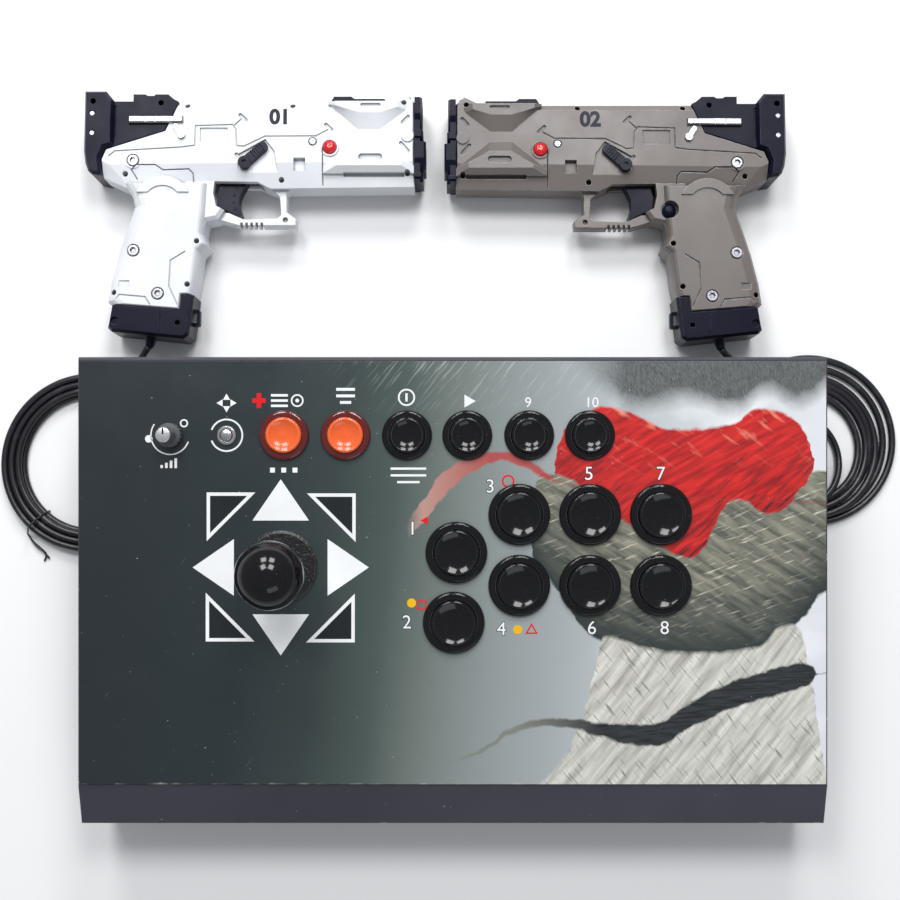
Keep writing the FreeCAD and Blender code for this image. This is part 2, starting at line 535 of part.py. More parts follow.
# blocks on the ring: low, high, front, and how much of the block its lower face takes
MUZZLE_BLOCKS = [(92.6, 98.0, 198.9, 0.45), (100.4, 116.8, 200.3, 0.36), (117.4, 123.6, 198.7, 0.3),
                 (125.4, 143.2, 198.1, 0.42)]
MUZZLE_EYE = (134.2, 7.9)     # height, radius
MUZZLE_LAMP = (108.6, 6.4)
BARREL_FRONT = 197.4
SCREW_HOLES = [(59.9, 137.8), (121.9, 137.8), (187.3, 139.4), (115.4, 93.9), (117.2, 71.3), (189.5, 97.5),
               (23.8, 97.2), (66.8, 56.6), (61.6, 31.1), (18.9, 26.4)]
HEX_BOLTS = [(28.5, 104.9), (30.0, 51.0), (44.6, 25.6)]
SLOTS = [((91.2, 132.0), (94.4, 129.0)), ((141.6, 126.2), (144.8, 123.2)), ((189.8, 131.0), (186.6, 127.6)),
         ((189.8, 110.5), (185.6, 115.2)), ((89.2, 108.4), (90.2, 107.2))]
LOWER_WEDGE = [(139.5, 100.5), (160.5, 117.3), (173.6, 117.3), (193.3, 101.5), (193.3, 97.0), (139.5, 97.0)]
UPPER_WEDGE = [(143.0, 138.6), (160.3, 123.4), (173.2, 123.4), (188.6, 135.0), (189.5, 140.3), (143.0, 140.0)]
WEDGE_ROOT = 7.0          # how far the wedges go down into the side wall
PANEL_LINES = [
    [(143.2, 123.4), (135.8, 119.4), (105.8, 119.2), (93.5, 113.2), (89.3, 113.5), (88.7, 123.4),
     (86.6, 126.2),
     (65.0, 125.5), (64.7, 113.8), (56.6, 112.7), (17.8, 110.4), (14.3, 107.6)],
    [(93.0, 130.6), (88.0, 126.0)],
    [(30.7, 102.3), (41.6, 102.3), (46.0, 99.4), (61.2, 99.9), (63.6, 97.4), (63.8, 93.0)],
    [(30.7, 102.3), (27.6, 99.4), (30.6, 94.4)],
    [(139.7, 91.0), (139.7, 112.0)],
    [(60.0, 50.2), (51.8, 45.1), (51.1, 29.9), (56.0, 19.4)],
    [(19.6, 21.6), (22.4, 24.9), (37.3, 23.6), (40.0, 19.4)],
]


def surface_w(u, v):
    """Half thickness of the bare receiver or grip at a point of its side."""
    if v < 92.0 and u < 75.0:
        return GRIP_W
    if v > LOWER_LEAN_TOP:
        return SIDE_W
    return SIDE_W - LOWER_LEAN_DEPTH * (LOWER_LEAN_TOP - v) / (LOWER_LEAN_TOP - 90.0)


def groove(line, width=0.8, depth=0.7):
    """Cutters that follow a panel line over the gun's side, each a thin upright plate."""
    plates = []
    for (u0, v0), (u1, v1) in zip(line, line[1:]):
        length = math.hypot(u1 - u0, v1 - v0)
        du, dv = (u1 - u0) / length * width / 2, (v1 - v0) / length * width / 2
        u0, v0, u1, v1 = u0 - du, v0 - dv, u1 + du, v1 + dv
        low0, low1 = surface_w(u0, v0) - depth, surface_w(u1, v1) - depth
        face = Part.makePolygon([V(u0 + dv, v0 - du, low0), V(u1 + dv, v1 - du, low1),
                                 V(u1 + dv, v1 - du, 25),
                                 V(u0 + dv, v0 - du, 25), V(u0 + dv, v0 - du, low0)])
        plates.append(Part.Face(face).extrude(V(-2 * dv, 2 * du, 0)))
    return plates


def round_slot(start, end, radius, low, high):
    (u0, v0), (u1, v1) = start, end
    length = math.hypot(u1 - u0, v1 - v0)
    nu, nv = -(v1 - v0) / length * radius, (u1 - u0) / length * radius
    middle = prism([(u0 + nu, v0 + nv), (u1 + nu, v1 + nv), (u1 - nu, v1 - nv), (u0 - nu, v0 - nv)], low,
                   high)
    ends = [rod(radius, (u, v, low), (u, v, high)) for u, v in (start, end)]
    return fused([middle] + ends)


def armour():
    """The two raised wedges beside the muzzle, each with a slot in its flat."""
    lower = Part.makeLoft([
        outline(LOWER_WEDGE, SIDE_W),
        outline([(148.2, 103.0), (161.3, 110.9), (173.9, 110.9), (186.0, 104.0), (186.0, 101.0),
                 (148.2, 101.0)],
                GUN_HALF)], True, True)
    lower_root = prism(LOWER_WEDGE, WEDGE_ROOT, SIDE_W)
    upper = Part.makeLoft([
        outline(UPPER_WEDGE, SIDE_W),
        outline([(147.6, 136.6), (161.1, 132.6), (172.9, 132.6), (183.6, 135.8), (183.6, 139.4),
                 (147.6, 139.4)],
                GUN_HALF)], True, True)
    upper_root = prism(UPPER_WEDGE, WEDGE_ROOT, SIDE_W)
    return [lower, lower_root, upper, upper_root]


def shell_half():
    """Right half of the gun's casing, from the middle plane outwards."""
    receiver = slab(RECEIVER, SIDE_W - LOWER_LEAN_DEPTH, SIDE_W, RECEIVER_LEAN)
    grip = rounded_slab(GRIP, GRIP_W - 8.0, GRIP_W, 8.0, GRIP_LEAN)
    frame = slab(FRAME, FRAME_W - 2, FRAME_W, [2.0] * len(FRAME))
    guard = slab(GUARD, GUARD_W - 1, GUARD_W, [0.6] * len(GUARD))
    collar = rod(5.3, (*RED_BUTTON_AT, 7), (*RED_BUTTON_AT, SIDE_W + 0.8))
    neck = fused([box(188, 196, 115.5, 123.5, 0, SIDE_W - 3),
                  rod(3.6, (189.5, 119.5, 0), (189.5, 119.5, SIDE_W + 1.0))])
    neck = neck.common(box(180, 193.5, 110, 130, 0, 20))
    band = rod(17.0, (46.5, 78.0, 4), (46.5, 78.0, GRIP_W + 0.9)).cut(
        [rod(11.5, (46.5, 78.0, 0), (46.5, 78.0, 30)), box(20, 75, 50, 85.5, 0, 30)])
    boss = rod(4.8, (*HEX_BOLTS[0], 5), (*HEX_BOLTS[0], SIDE_W))
    body = fused([receiver, grip, frame, guard, collar, neck, band, boss] + armour())
    tools = [prism(GUARD_HOLE, -1, 25)]
    hollow = SIDE_W - WALL
    tools += [prism(inset(RECEIVER, [3.0] * len(RECEIVER)), -1, hollow).common(
                  box(60, 190.5, 104.5, 137, -1, hollow)),
              prism(GRIP_HOLLOW, -1, hollow),
              prism(TRIGGER_POCKET, -1, TRIGGER_HALF + 0.4)]
    tools += [box(90.6 + 3.0 * i, 92.1 + 3.0 * i, 66, 69.7, -1, 25) for i in range(5)]
    for line in PANEL_LINES:
        tools += groove(line)
    tools += [round_slot(a, b, 1.1, SIDE_W - 1.2, 25) for a, b in SLOTS]
    tools += [round_slot((162.9, 106.0), (172.9, 106.0), 2.0, GUN_HALF - 1.8, 25),
              round_slot((162.9, 137.2), (172.9, 137.2), 0.9, GUN_HALF - 1.2, 25)]
    tools += [rod(1.6, (u, v, 2.5), (u, v, 25)) for u, v in SCREW_HOLES]
    tools += [rod(3.8, (u, v, SIDE_W - 1.0), (u, v, 25)) for u, v in HEX_BOLTS]
    tools += [rod(1.7, (u, v, -1), (u, v, 25)) for u, v in HEX_BOLTS]
    tools += [box(122.6, 129.5, 99.1, 106.4, SIDE_W - 3.5, 25),
              box(67.6, 83.8, 116.1, 124.4, SIDE_W - 0.9, 25),
              box(21.9, 28.0, 29.4, 33.2, GRIP_W - 0.7, 25), box(152.0, 187.6, 95.6, 97.6, SIDE_W - 4.0, 25)]
    tools += [rod(2.6, (*LAMP_AT, SIDE_W - 1.0), (*LAMP_AT, 25)),
              rod(4.3, (*RED_BUTTON_AT, 6), (*RED_BUTTON_AT, 25)),
              rod(2.07, (*LEVER_PIVOT, -1), (*LEVER_PIVOT, 25))]
    fan = prism([LEVER_PIVOT, (89.8, 108.5), (106.0, 117.6), (111.5, 110.5), (113.6, 97.0), (97.0, 96.4)],
                SIDE_W - 1.5, 25)
    tools.append(fan.fuse(rod(4.2, (*LEVER_PIVOT, SIDE_W - 1.5), (*LEVER_PIVOT, 25))))
    return body.cut(tools).removeSplitter()


def mirrored(shape):
    return shape.mirror(V(0, 0, 0), V(0, 0, 1))


def both_sides(shapes):
    return [solid for shape in shapes for solid in (shape, mirrored(shape))]


def rear_cap():
    core = prism(CAP, 0, CAP_W)
    block = slab(CAP_BLOCK, GUN_HALF - 2.5, GUN_HALF, [1.5] * len(CAP_BLOCK))
    half = fused([core, block])
    tools = [rod(1.7, (5.4, 139.3, 9), (5.4, 139.3, 25)), rod(1.6, (44.3, 139.6, 7), (44.3, 139.6, 25)),
             rod(1.7, (4.9, 132.0, GUN_HALF - 0.8), (4.9, 132.0, 25)),
             rod(1.7, (4.9, 120.3, GUN_HALF - 0.8), (4.9, 120.3, 25)),
             box(16.9, 17.9, 118, 138, CAP_W - 1.1, 25)]
    half = half.cut(tools)
    return fused([half, mirrored(half)])


def barrel(seat, bore_depth):
    """A short open tube round one of the muzzle's two eyes."""
    height, radius = seat
    return rod(radius, (MUZZLE_BACK, height, 0), (BARREL_FRONT, height, 0)).cut(
        rod(radius - 2.0, (BARREL_FRONT - bore_depth, height, 0), (BARREL_FRONT + 5, height, 0)))


def muzzle_unit():
    """Front ring in four blocks, barrels of the lens and the lamp, sights and sensor board."""
    low, high = MUZZLE_BLOCKS[0][0], MUZZLE_BLOCKS[-1][1]
    blocks = [box(MUZZLE_BACK, MUZZLE_CORE, low, high, 0, MUZZLE_W - 1.6)]
    for v0, v1, front, share in MUZZLE_BLOCKS:
        corners = [(MUZZLE_BACK, v0), (front, v0), (front, v1), (MUZZLE_BACK, v1)]
        blocks.append(slab(corners, MUZZLE_W - 3.5, MUZZLE_W, [share * (v1 - v0), 1.2, 0.8, 0.1]))
    half = fused(blocks)
    ring = fused([half, mirrored(half)])
    for height, radius in (MUZZLE_EYE, MUZZLE_LAMP):
        ring = ring.cut(rod(radius, (190, height, 0), (205, height, 0)))
    rear_sight = prism([(143.5, 140.4), (177.6, 140.4), (175.6, 143.0), (158.0, 143.0), (156.0, 144.4),
                        (146.0, 144.4)], -9, 9)
    at, radius = 189.8, 1.8
    front_sight = rod(radius, (at, GUN_TOP - radius, -4), (at, GUN_TOP - radius, 4)).cut(
        prism(RECEIVER, -20, 20))
    board = box(184.5, 186.1, 108.0, 136.0, -6.5, 6.5)
    return [ring, barrel(MUZZLE_EYE, 4.5), barrel(MUZZLE_LAMP, 3.0), rear_sight, front_sight, board]


def grip_base():
    half = slab(BASE, BASE_W - 3.0, BASE_W, BASE_LEAN)
    tools = [rod(1.6, (56.2, 8.6, 9), (56.2, 8.6, 25)), rod(2.4, (19.5, 9.8, BASE_W - 2), (19.5, 9.8, 25)),
             box(45.6, 46.3, 0, 18, BASE_W - 0.6, 25)]
    half = half.cut(tools)
    loop = prism([(60.0, 18.4), (66.0, 18.4), (67.2, 17.4), (67.2, 9.3), (66.4, 8.3), (60.0, 8.3)], -1.6, 1.6)
    loop = loop.cut(box(58, 65.2, 10.4, 16.3, -5, 5).cut(prism(BASE, -6, 6)))
    body = fused([half, mirrored(half), loop])
    relief = fused([cone(3.3, RELIEF_R, (*CABLE_EXIT, 0), (*RELIEF_TIP, 0)),
                    Part.makeSphere(RELIEF_R, V(*RELIEF_TIP, 0))])
    return [body, relief.cut(body)]


def trigger():
    plate = prism(TRIGGER, -TRIGGER_HALF, TRIGGER_HALF)
    plate = plate.cut(rod(1.56, (*TRIGGER_PIVOT, -10), (*TRIGGER_PIVOT, 10)))
    return plate.cut([rod(0.7, (88.4 + du, v, TRIGGER_HALF - 0.4), (88.4 + du, v, 9))
                      for v, du in ((90.0, -0.2), (85.6, -1.4), (81.4, -1.6), (77.2, -0.6))])


def safety_lever():
    (u0, v0), (u1, v1) = LEVER_PIVOT, LEVER_TIP
    arm = round_slot(LEVER_PIVOT, LEVER_TIP, 3.0, SIDE_W - 1.2, SIDE_W + 1.9).fuse(
        rod(3.6, (u0, v0, SIDE_W - 1.2), (u0, v0, SIDE_W + 3.0)))
    length = math.hypot(u1 - u0, v1 - v0)
    ribs = []
    for i in range(5):
        share = (6.6 + 1.7 * i) / length
        centre = (u0 + (u1 - u0) * share, v0 + (v1 - v0) * share)
        rib = box(-0.4, 0.4, -4, 4, SIDE_W + 1.3, 25)
        rib.rotate(V(0, 0, 0), V(0, 0, 1), math.degrees(math.atan2(v1 - v0, u1 - u0)))
        rib.translate(V(*centre, 0))
        ribs.append(rib)
    arm = arm.cut(ribs).cut(rod(1.3, (u0, v0, SIDE_W + 2.0), (u0, v0, 25)))
    return fused([arm, mirrored(arm), rod(2.0, (u0, v0, -SIDE_W), (u0, v0, SIDE_W))])


def red_button():
    top = SIDE_W + 2.8
    return turned([(0, top), ("arc", (2.2, top - 0.2), (3.4, top - 0.9)), (4.0, top - 1.9),
                   (4.0, SIDE_W - 4.3),
                   (0, SIDE_W - 4.3)], RED_BUTTON_AT)


def magazine_release():
    u, v = RELEASE_AT
    return turned([(0, FRAME_W + 2.4), ("arc", (2.2, FRAME_W + 2.2), (3.2, FRAME_W + 1.6)),
                   (4.0, FRAME_W + 0.8),
                   (4.0, FRAME_W - 4), (0, FRAME_W - 4)], (u, v))


def fittings():
    """Hex bolts, lamp studs, the bright charging bars and the small hooks, on both sides."""
    pieces = []
    for u, v in HEX_BOLTS:
        head_low = SIDE_W - 1.0
        hexagon = [(u + 1.9 * math.cos(math.radians(60 * k)), v + 1.9 * math.sin(math.radians(60 * k)))
                   for k in range(6)]
        head_top = (GRIP_W if v < 92 else SIDE_W) + 0.5
        head = turned([(0, head_top), (2.9, head_top), (3.5, head_top - 0.6), (3.5, head_low), (0, head_low)],
                      (u, v))
        head = head.cut(prism(hexagon, head_top - 1.5, 25))
        pieces.append(fused([head, rod(1.7, (u, v, 2), (u, v, head_low + 0.1))]))
    bar_top = SIDE_W + 2.1
    bar = slab([(25.6, 126.9), (57.8, 127.2), (57.8, 131.2), (25.6, 131.3)], bar_top - 1, bar_top, [0.7] * 4)
    pieces.append(bar.common(box(20, 60, 120, 135, CAP_W, 20)).cut(prism(RECEIVER, 0, SIDE_W)).cut(
        [box(u, u + 0.9, 120, 135, bar_top - 0.5, 20) for u in (35.0, 41.0)]))
    hook = round_slot((53.5, 125.0), (56.8, 120.0), 1.6, SIDE_W, SIDE_W + 1.2)
    pieces.append(fused([hook, rod(2.3, (56.8, 120.0, SIDE_W), (56.8, 120.0, SIDE_W + 1.8))]))
    pieces.append(turned([(0, SIDE_W + 0.7), (1.7, SIDE_W + 0.7), (2.4, SIDE_W + 0.1), (2.4, SIDE_W - 1.0),
                          (0, SIDE_W - 1.0)], LAMP_AT))
    for v in (132.0, 120.3):
        pieces.append(turned([(0, GUN_HALF), (1.2, GUN_HALF), (1.7, GUN_HALF - 0.4), (1.7, GUN_HALF - 0.8),
                              (0, GUN_HALF - 0.8)], (4.9, v)))
    return both_sides(pieces)


def gun(name, place):
    half = shell_half()
    u, v = RELEASE_AT
    left = mirrored(half).cut([rod(4.3, (u, v, -30), (u, v, 0)),
                               rod(5.2, (u, v, -30), (u, v, -FRAME_W + 0.8))])
    pin = rod(1.5, (*TRIGGER_PIVOT, -8.5), (*TRIGGER_PIVOT, 8.5))
    base, relief = grip_base()
    parts = {
        "shell_right": [half.cut(pin)], "shell_left": [left.cut(pin)],
        "rear_cap": [rear_cap()], "muzzle_unit": muzzle_unit(), "grip_base": [base, relief],
        "trigger": [trigger()], "safety_lever": [safety_lever()],
        "red_button_right": [red_button()], "red_button_left": [mirrored(red_button())],
        "magazine_release": [mirrored(magazine_release())], "metal_fittings": fittings() + [pin],
    }
    for part, shapes in parts.items():
        add(f"{name}_{part}", *[shape.scaled(GUN_SCALE) for shape in shapes], placement=place)


LIE = GUN_HALF * GUN_SCALE
LEFT_GUN = FreeCAD.Placement(SHIFT + V(LEFT_GUN_X, LEFT_GUN_Y, LIE), FreeCAD.Rotation())
RIGHT_GUN = FreeCAD.Placement(SHIFT + V(RIGHT_GUN_X, RIGHT_GUN_Y, LIE), FreeCAD.Rotation(V(0, 1, 0), 180))


# ---- cables ---------------------------------------------------------------------------------
def cable_run(points, name):
    """A round tube of straight runs joined by tangent arcs, each as large as its runs allow."""
    points = [V(*p) for p in points]
    edges, start, length, radii = [], points[0], 0.0, []
    for before, corner, after in zip(points, points[1:], points[2:]):
        into, out = corner - before, after - corner
        run = min(into.Length, out.Length)
        into.normalize()
        out.normalize()
        half_turn = into.getAngle(out) / 2
        reach = 0.45 * run
        radii.append(reach / math.tan(half_turn))
        first, last = corner - into * reach, corner + out * reach
        inward = (out - into).normalize()
        middle = corner + inward * (radii[-1] / math.cos(half_turn) - radii[-1])
        edges += [Part.LineSegment(start, first).toShape(), Part.Arc(first, middle, last).toShape()]
        length += (first - start).Length + radii[-1] * 2 * half_turn
        start = last
    edges.append(Part.LineSegment(start, points[-1]).toShape())
    length += (points[-1] - start).Length
    spine = Part.Wire(edges)
    circle = Part.Wire(Part.Circle(points[0], points[1] - points[0], CABLE_D / 2).toShape())
    solid = spine.makePipeShell([circle], True, True)
    expected = math.pi * CABLE_D ** 2 / 4 * length
    print(f"{name}: length {length:.1f}, volume ratio {solid.Volume / expected:.4f}, "
          f"radii {[round(r, 1) for r in radii]}")
    return solid


def coil(spec):
    x, y = spec["at"]
    high, outer, inner = spec["height"], spec["outer"], spec["inner"]
    body = turned([(0, 0), (outer - 3, 0), ("arc", (outer - 0.9, 0.9), (outer, 3)), (outer, high - 3),
                   ("arc", (outer - 0.9, high - 0.9), (outer - 3, high)), (0, high)], (x, y))
    hole = (x + spec["shift"][0], y + spec["shift"][1])
    return body.cut(rod(inner, (*hole, -1), (*hole, high + 1)))


def cables():
    """Each cable runs from its gun to its coil and from there up into its grommet."""
    for side, spec, lead, tail in (("left", LEFT_COIL, LEFT_LEAD, LEFT_TAIL),
                                   ("right", RIGHT_COIL, RIGHT_LEAD, RIGHT_TAIL)):
        runs = [cable_run(lead, f"{side} lead"), cable_run(tail, f"{side} tail")]
        add(f"gun_cable_{side}_run", *[desk(run) for run in runs])
        add(f"gun_cable_{side}_coil", desk(coil(spec).cut(runs)))


# ---- build and write ------------------------------------------------------------------------
top_cover()
panel_overlay()
bottom_pan()
feet_and_grommets()
case_screws()
main_board()
rear_ports()
rocker()
buttons()
metal_button()
volume_knob()
joystick()
gun("gun_left", LEFT_GUN)
gun("gun_right", RIGHT_GUN)
cables()

os.makedirs("parts", exist_ok=True)
for node, solids in NODES.items():
    shape = solids[0] if len(solids) == 1 else Part.makeCompound(solids)
    if not shape.isValid():
        print("not valid:", node)
    shape.exportStep(f"parts/{node}.step")
print(len(NODES), "nodes")
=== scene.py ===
# %% [markdown]
# # A light gun console, finished in Blender
#
# The object is an arcade desk: a folded steel case with a printed panel, a ball-top stick, a knob
# and fifteen buttons. Two wired light guns lie behind it, one white and one khaki, each on its own
# black cable with a coil beside the desk. The case, the controls and the guns come from CAD and
# are only given their finishes here. The cables, the printing and the small trim are made here.
#
# Everything is in metres, in the frame of the CAD model: Z up from the table, X to the player's
# right, Y away from the player.

# %% Load the CAD model and keep its box
import math

import bmesh
import bpy
from mathutils import Matrix, Vector


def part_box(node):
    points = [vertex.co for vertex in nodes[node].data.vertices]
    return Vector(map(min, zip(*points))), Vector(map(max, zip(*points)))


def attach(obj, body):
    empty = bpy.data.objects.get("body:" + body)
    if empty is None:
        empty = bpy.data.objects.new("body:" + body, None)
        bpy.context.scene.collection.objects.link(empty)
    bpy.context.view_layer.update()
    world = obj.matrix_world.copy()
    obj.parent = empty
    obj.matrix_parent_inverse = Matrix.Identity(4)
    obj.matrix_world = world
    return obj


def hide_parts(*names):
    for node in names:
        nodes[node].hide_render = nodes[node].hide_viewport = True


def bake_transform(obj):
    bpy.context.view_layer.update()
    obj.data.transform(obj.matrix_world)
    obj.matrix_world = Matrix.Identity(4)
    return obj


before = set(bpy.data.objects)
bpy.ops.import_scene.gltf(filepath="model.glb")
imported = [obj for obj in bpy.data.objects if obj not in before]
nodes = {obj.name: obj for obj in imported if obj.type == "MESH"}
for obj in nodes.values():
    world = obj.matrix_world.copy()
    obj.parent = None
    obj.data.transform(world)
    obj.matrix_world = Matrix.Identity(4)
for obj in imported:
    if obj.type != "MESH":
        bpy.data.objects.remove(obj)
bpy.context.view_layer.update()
MM = 0.001

# %% [markdown]
# Three sets of axes keep the numbers readable. Sizes on the desk are counted in millimetres from
# the middle of the panel's front edge, down at table height. Sizes on the panel are counted along
# its slope. Sizes on a gun are counted from its own rear and the foot of its grip: u to the
# muzzle, v up the gun and w out of its right side. Each origin is read from the CAD model, so a
# change there carries over.

# %% The desk's, the panel's and the guns' own axes
PANEL_SLOPE = math.radians(4.0)
BAND_RUN = 21.5           # how far the front band comes forward of the panel
PANEL_FRONT_Z = 58.0      # height of the panel's front edge
GUN_SCALE = 0.987         # the guns' own units, in millimetres
GUN_TOP = 145.9           # from the foot of the grip to the top of the rear cap
SIDE_W = 12.6             # half thickness of a gun's flat sides
SKIN = 0.8                # the printed film's face, above the steel

cover_low, cover_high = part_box("top_cover")
desk_origin = Vector(((cover_low.x + cover_high.x) / 2, cover_low.y + BAND_RUN * MM, 0.0))
DESK = Matrix.Translation(desk_origin) @ Matrix.Scale(MM, 4)
PANEL = DESK @ Matrix.Translation((0, 0, PANEL_FRONT_Z)) @ Matrix.Rotation(PANEL_SLOPE, 4, "X")

left_low, left_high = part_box("gun_left_rear_cap")
right_low, right_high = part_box("gun_right_rear_cap")
gun_unit = GUN_SCALE * MM
left_origin = Vector((left_low.x, left_high.y - GUN_TOP * gun_unit, (left_low.z + left_high.z) / 2))
right_origin = Vector((right_high.x, right_high.y - GUN_TOP * gun_unit, (right_low.z + right_high.z) / 2))
GUNS = {
    "gun_left": Matrix.Translation(left_origin) @ Matrix.Scale(gun_unit, 4),
    "gun_right": (Matrix.Translation(right_origin) @ Matrix.Rotation(math.pi, 4, "Y")
                  @ Matrix.Scale(gun_unit, 4)),
}
print("desk origin", desk_origin, "gun origins", left_origin, right_origin)

# %% [markdown]
# The camera looks down on the desk from above the player, square to the panel, from about 65 cm.
# A lens a little short of 50 mm gives the guns behind the desk their slight fall-off in size.

# %% Camera
VIEW_DISTANCE = 650.0     # from the panel's middle, along its upright
VIEW_CENTRE = (-1.5, 178.7, 70.5)
camera = bpy.data.objects.new("camera", bpy.data.cameras.new("camera"))
bpy.context.scene.collection.objects.link(camera)
camera.data.lens = 48.68
camera.data.sensor_width = 36.0
upright = Vector((0, -math.sin(PANEL_SLOPE), math.cos(PANEL_SLOPE)))
camera.location = DESK @ (Vector(VIEW_CENTRE) + upright * VIEW_DISTANCE)
camera.rotation_euler = (PANEL_SLOPE, 0, 0)
camera.data.clip_start = 0.05
camera.data.clip_end = 20.0
bpy.context.scene.camera = camera
print("camera at", [round(v, 4) for v in camera.location])

# %% [markdown]
# A pale floor and soft studio light. The strongest light comes from behind and above, so the faces
# that lean towards the player stay dark and the tops of the guns glow. It is a bank of four square
# panels, because a glossy ball top mirrors its lights, and four small squares read as a studio.

# %% Floor and lights
def principled(name, colour, roughness, **sockets):
    """A material with one Principled shader; any other socket is given by its name."""
    material = bpy.data.materials.new(name)
    material.use_nodes = True
    shader = material.node_tree.nodes["Principled BSDF"]
    shader.inputs["Base Color"].default_value = (*colour, 1.0)
    shader.inputs["Roughness"].default_value = roughness
    for socket, value in sockets.items():
        shader.inputs[socket.replace("_", " ")].default_value = value
    material.diffuse_color = (*colour, 1.0)
    return material


FLOOR_HALF = 6.0
floor_mesh = bpy.data.meshes.new("floor")
floor_mesh.from_pydata([(-FLOOR_HALF, -FLOOR_HALF, 0), (FLOOR_HALF, -FLOOR_HALF, 0),
                        (FLOOR_HALF, FLOOR_HALF, 0), (-FLOOR_HALF, FLOOR_HALF, 0)], [], [(0, 1, 2, 3)])
floor = bpy.data.objects.new("floor", floor_mesh)
bpy.context.scene.collection.objects.link(floor)
floor_mesh.materials.append(principled("studio_floor", (0.92, 0.92, 0.93), 0.7))


def area_light(name, place, aim, size, power, colour=(1, 1, 1)):
    lamp = bpy.data.lights.new(name, "AREA")
    lamp.shape = "RECTANGLE"
    lamp.size, lamp.size_y = size
    lamp.energy = power
    lamp.color = colour
    light = bpy.data.objects.new(name, lamp)
    bpy.context.scene.collection.objects.link(light)
    light.location = place
    light.rotation_euler = (Vector(aim) - Vector(place)).to_track_quat("-Z", "Y").to_euler()
    return light


BANK_CENTRE = Vector((-0.09, 0.96, 1.25))
BANK_GAP = 0.34           # from the bank's middle to each panel's middle, sideways and up
for across in (-1, 1):
    for up in (-1, 1):
        place = BANK_CENTRE + Vector((across * BANK_GAP, -up * BANK_GAP * 0.78, up * BANK_GAP * 0.62))
        area_light(f"bank_{across}_{up}", place, (-0.05, -0.05, 0), (0.42, 0.42), 7.4)
area_light("player_side", (0.5, -1.6, 1.5), (0, 0, 0), (1.2, 0.6), 3.5, (0.96, 0.98, 1.0))
world = bpy.data.worlds.new("studio")
bpy.context.scene.world = world
world.use_nodes = True
world.node_tree.nodes["Background"].inputs["Color"].default_value = (0.93, 0.96, 1.0, 1.0)
world.node_tree.nodes["Background"].inputs["Strength"].default_value = 0.33
bpy.context.scene.view_settings.view_transform = "Standard"

# %% [markdown]
# A material's node tree is easier to follow as a page of sums than as wires. This small class puts
# one node down per call and gives back its output, so a finish reads from top to bottom. It also
# holds the three tricks that make a moulded or painted part look real: a rounded edge that is only
# shaded, a mask of the edges where wear and a painted highlight show, and a mask of the grooves
# where shade is painted into the colour.

# %% A page for node sums
def linear(*levels):
    """Linear colour from the 0 to 255 levels of a colour picker."""
    return tuple(((v / 255 + 0.055) / 1.055) ** 2.4 if v > 10 else v / 255 / 12.92 for v in levels)


def tinted(colour, factor):
    return tuple(min(1.0, c * factor) for c in colour)


class Finish:
    """One material; each call adds a node and gives back the socket with its result."""

    def __init__(self, name, colour, roughness, **sockets):
        self.material = principled(name, colour, roughness, **sockets)
        self.tree = self.material.node_tree
        self.shader = self.tree.nodes["Principled BSDF"]
        self.place = self.add("ShaderNodeTexCoord", out="Object")

    def feed(self, socket, value):
        if isinstance(value, bpy.types.NodeSocket):
            self.tree.links.new(value, socket)
        elif socket.type == "RGBA":
            socket.default_value = (*value[:3], 1.0)
        else:
            socket.default_value = value

    def add(self, kind, inputs=None, out=0, **settings):
        node = self.tree.nodes.new(kind)
        for setting, value in settings.items():
            setattr(node, setting, value)
        for key, value in (inputs or {}).items():
            self.feed(node.inputs[key], value)
        return node.outputs[out]

    def sum(self, operation, a, b=0.0, c=0.0):
        return self.add("ShaderNodeMath", {0: a, 1: b, 2: c}, operation=operation)

    def mix(self, share, a, b, blend="MIX"):
        return self.add("ShaderNodeMix", {0: share, 6: a, 7: b}, out=2, data_type="RGBA", blend_type=blend)

    def between(self, value, low, high, first=0.0, last=1.0):
        return self.add("ShaderNodeMapRange", {0: value, 1: low, 2: high, 3: first, 4: last})

    def noise(self, scale, detail=3.0, at=None):
        return self.add("ShaderNodeTexNoise", {"Vector": at or self.place, "Scale": scale, "Detail": detail})

    def rounded(self, radius):
        return self.add("ShaderNodeBevel", {"Radius": radius}, samples=4)

    def edges(self, radius):
        """1 where an edge is nearer than the radius, 0 on open faces."""
        flat = self.add("ShaderNodeNewGeometry", out="Normal")
        turn = self.add("ShaderNodeVectorMath", {0: self.rounded(radius), 1: flat}, out="Value",
                        operation="DOT_PRODUCT")
        return self.between(turn, 0.985, 0.85)

    def grooves(self, reach):
        """1 deep in a groove or a corner, 0 in the open; the mask for painted shade in hollows."""
        open_sky = self.add("ShaderNodeAmbientOcclusion", {"Distance": reach}, out="AO", samples=4,
                            only_local=True)
        return self.between(open_sky, 0.85, 0.3)

    def relief(self, height, depth, radius):
        bump = {"Height": height, "Distance": depth, "Normal": self.rounded(radius)}
        return self.add("ShaderNodeBump", bump, out="Normal")

    def wear(self, **sockets):
        for name, value in sockets.items():
            self.feed(self.shader.inputs[name.replace("_", " ")], value)
        return self.material
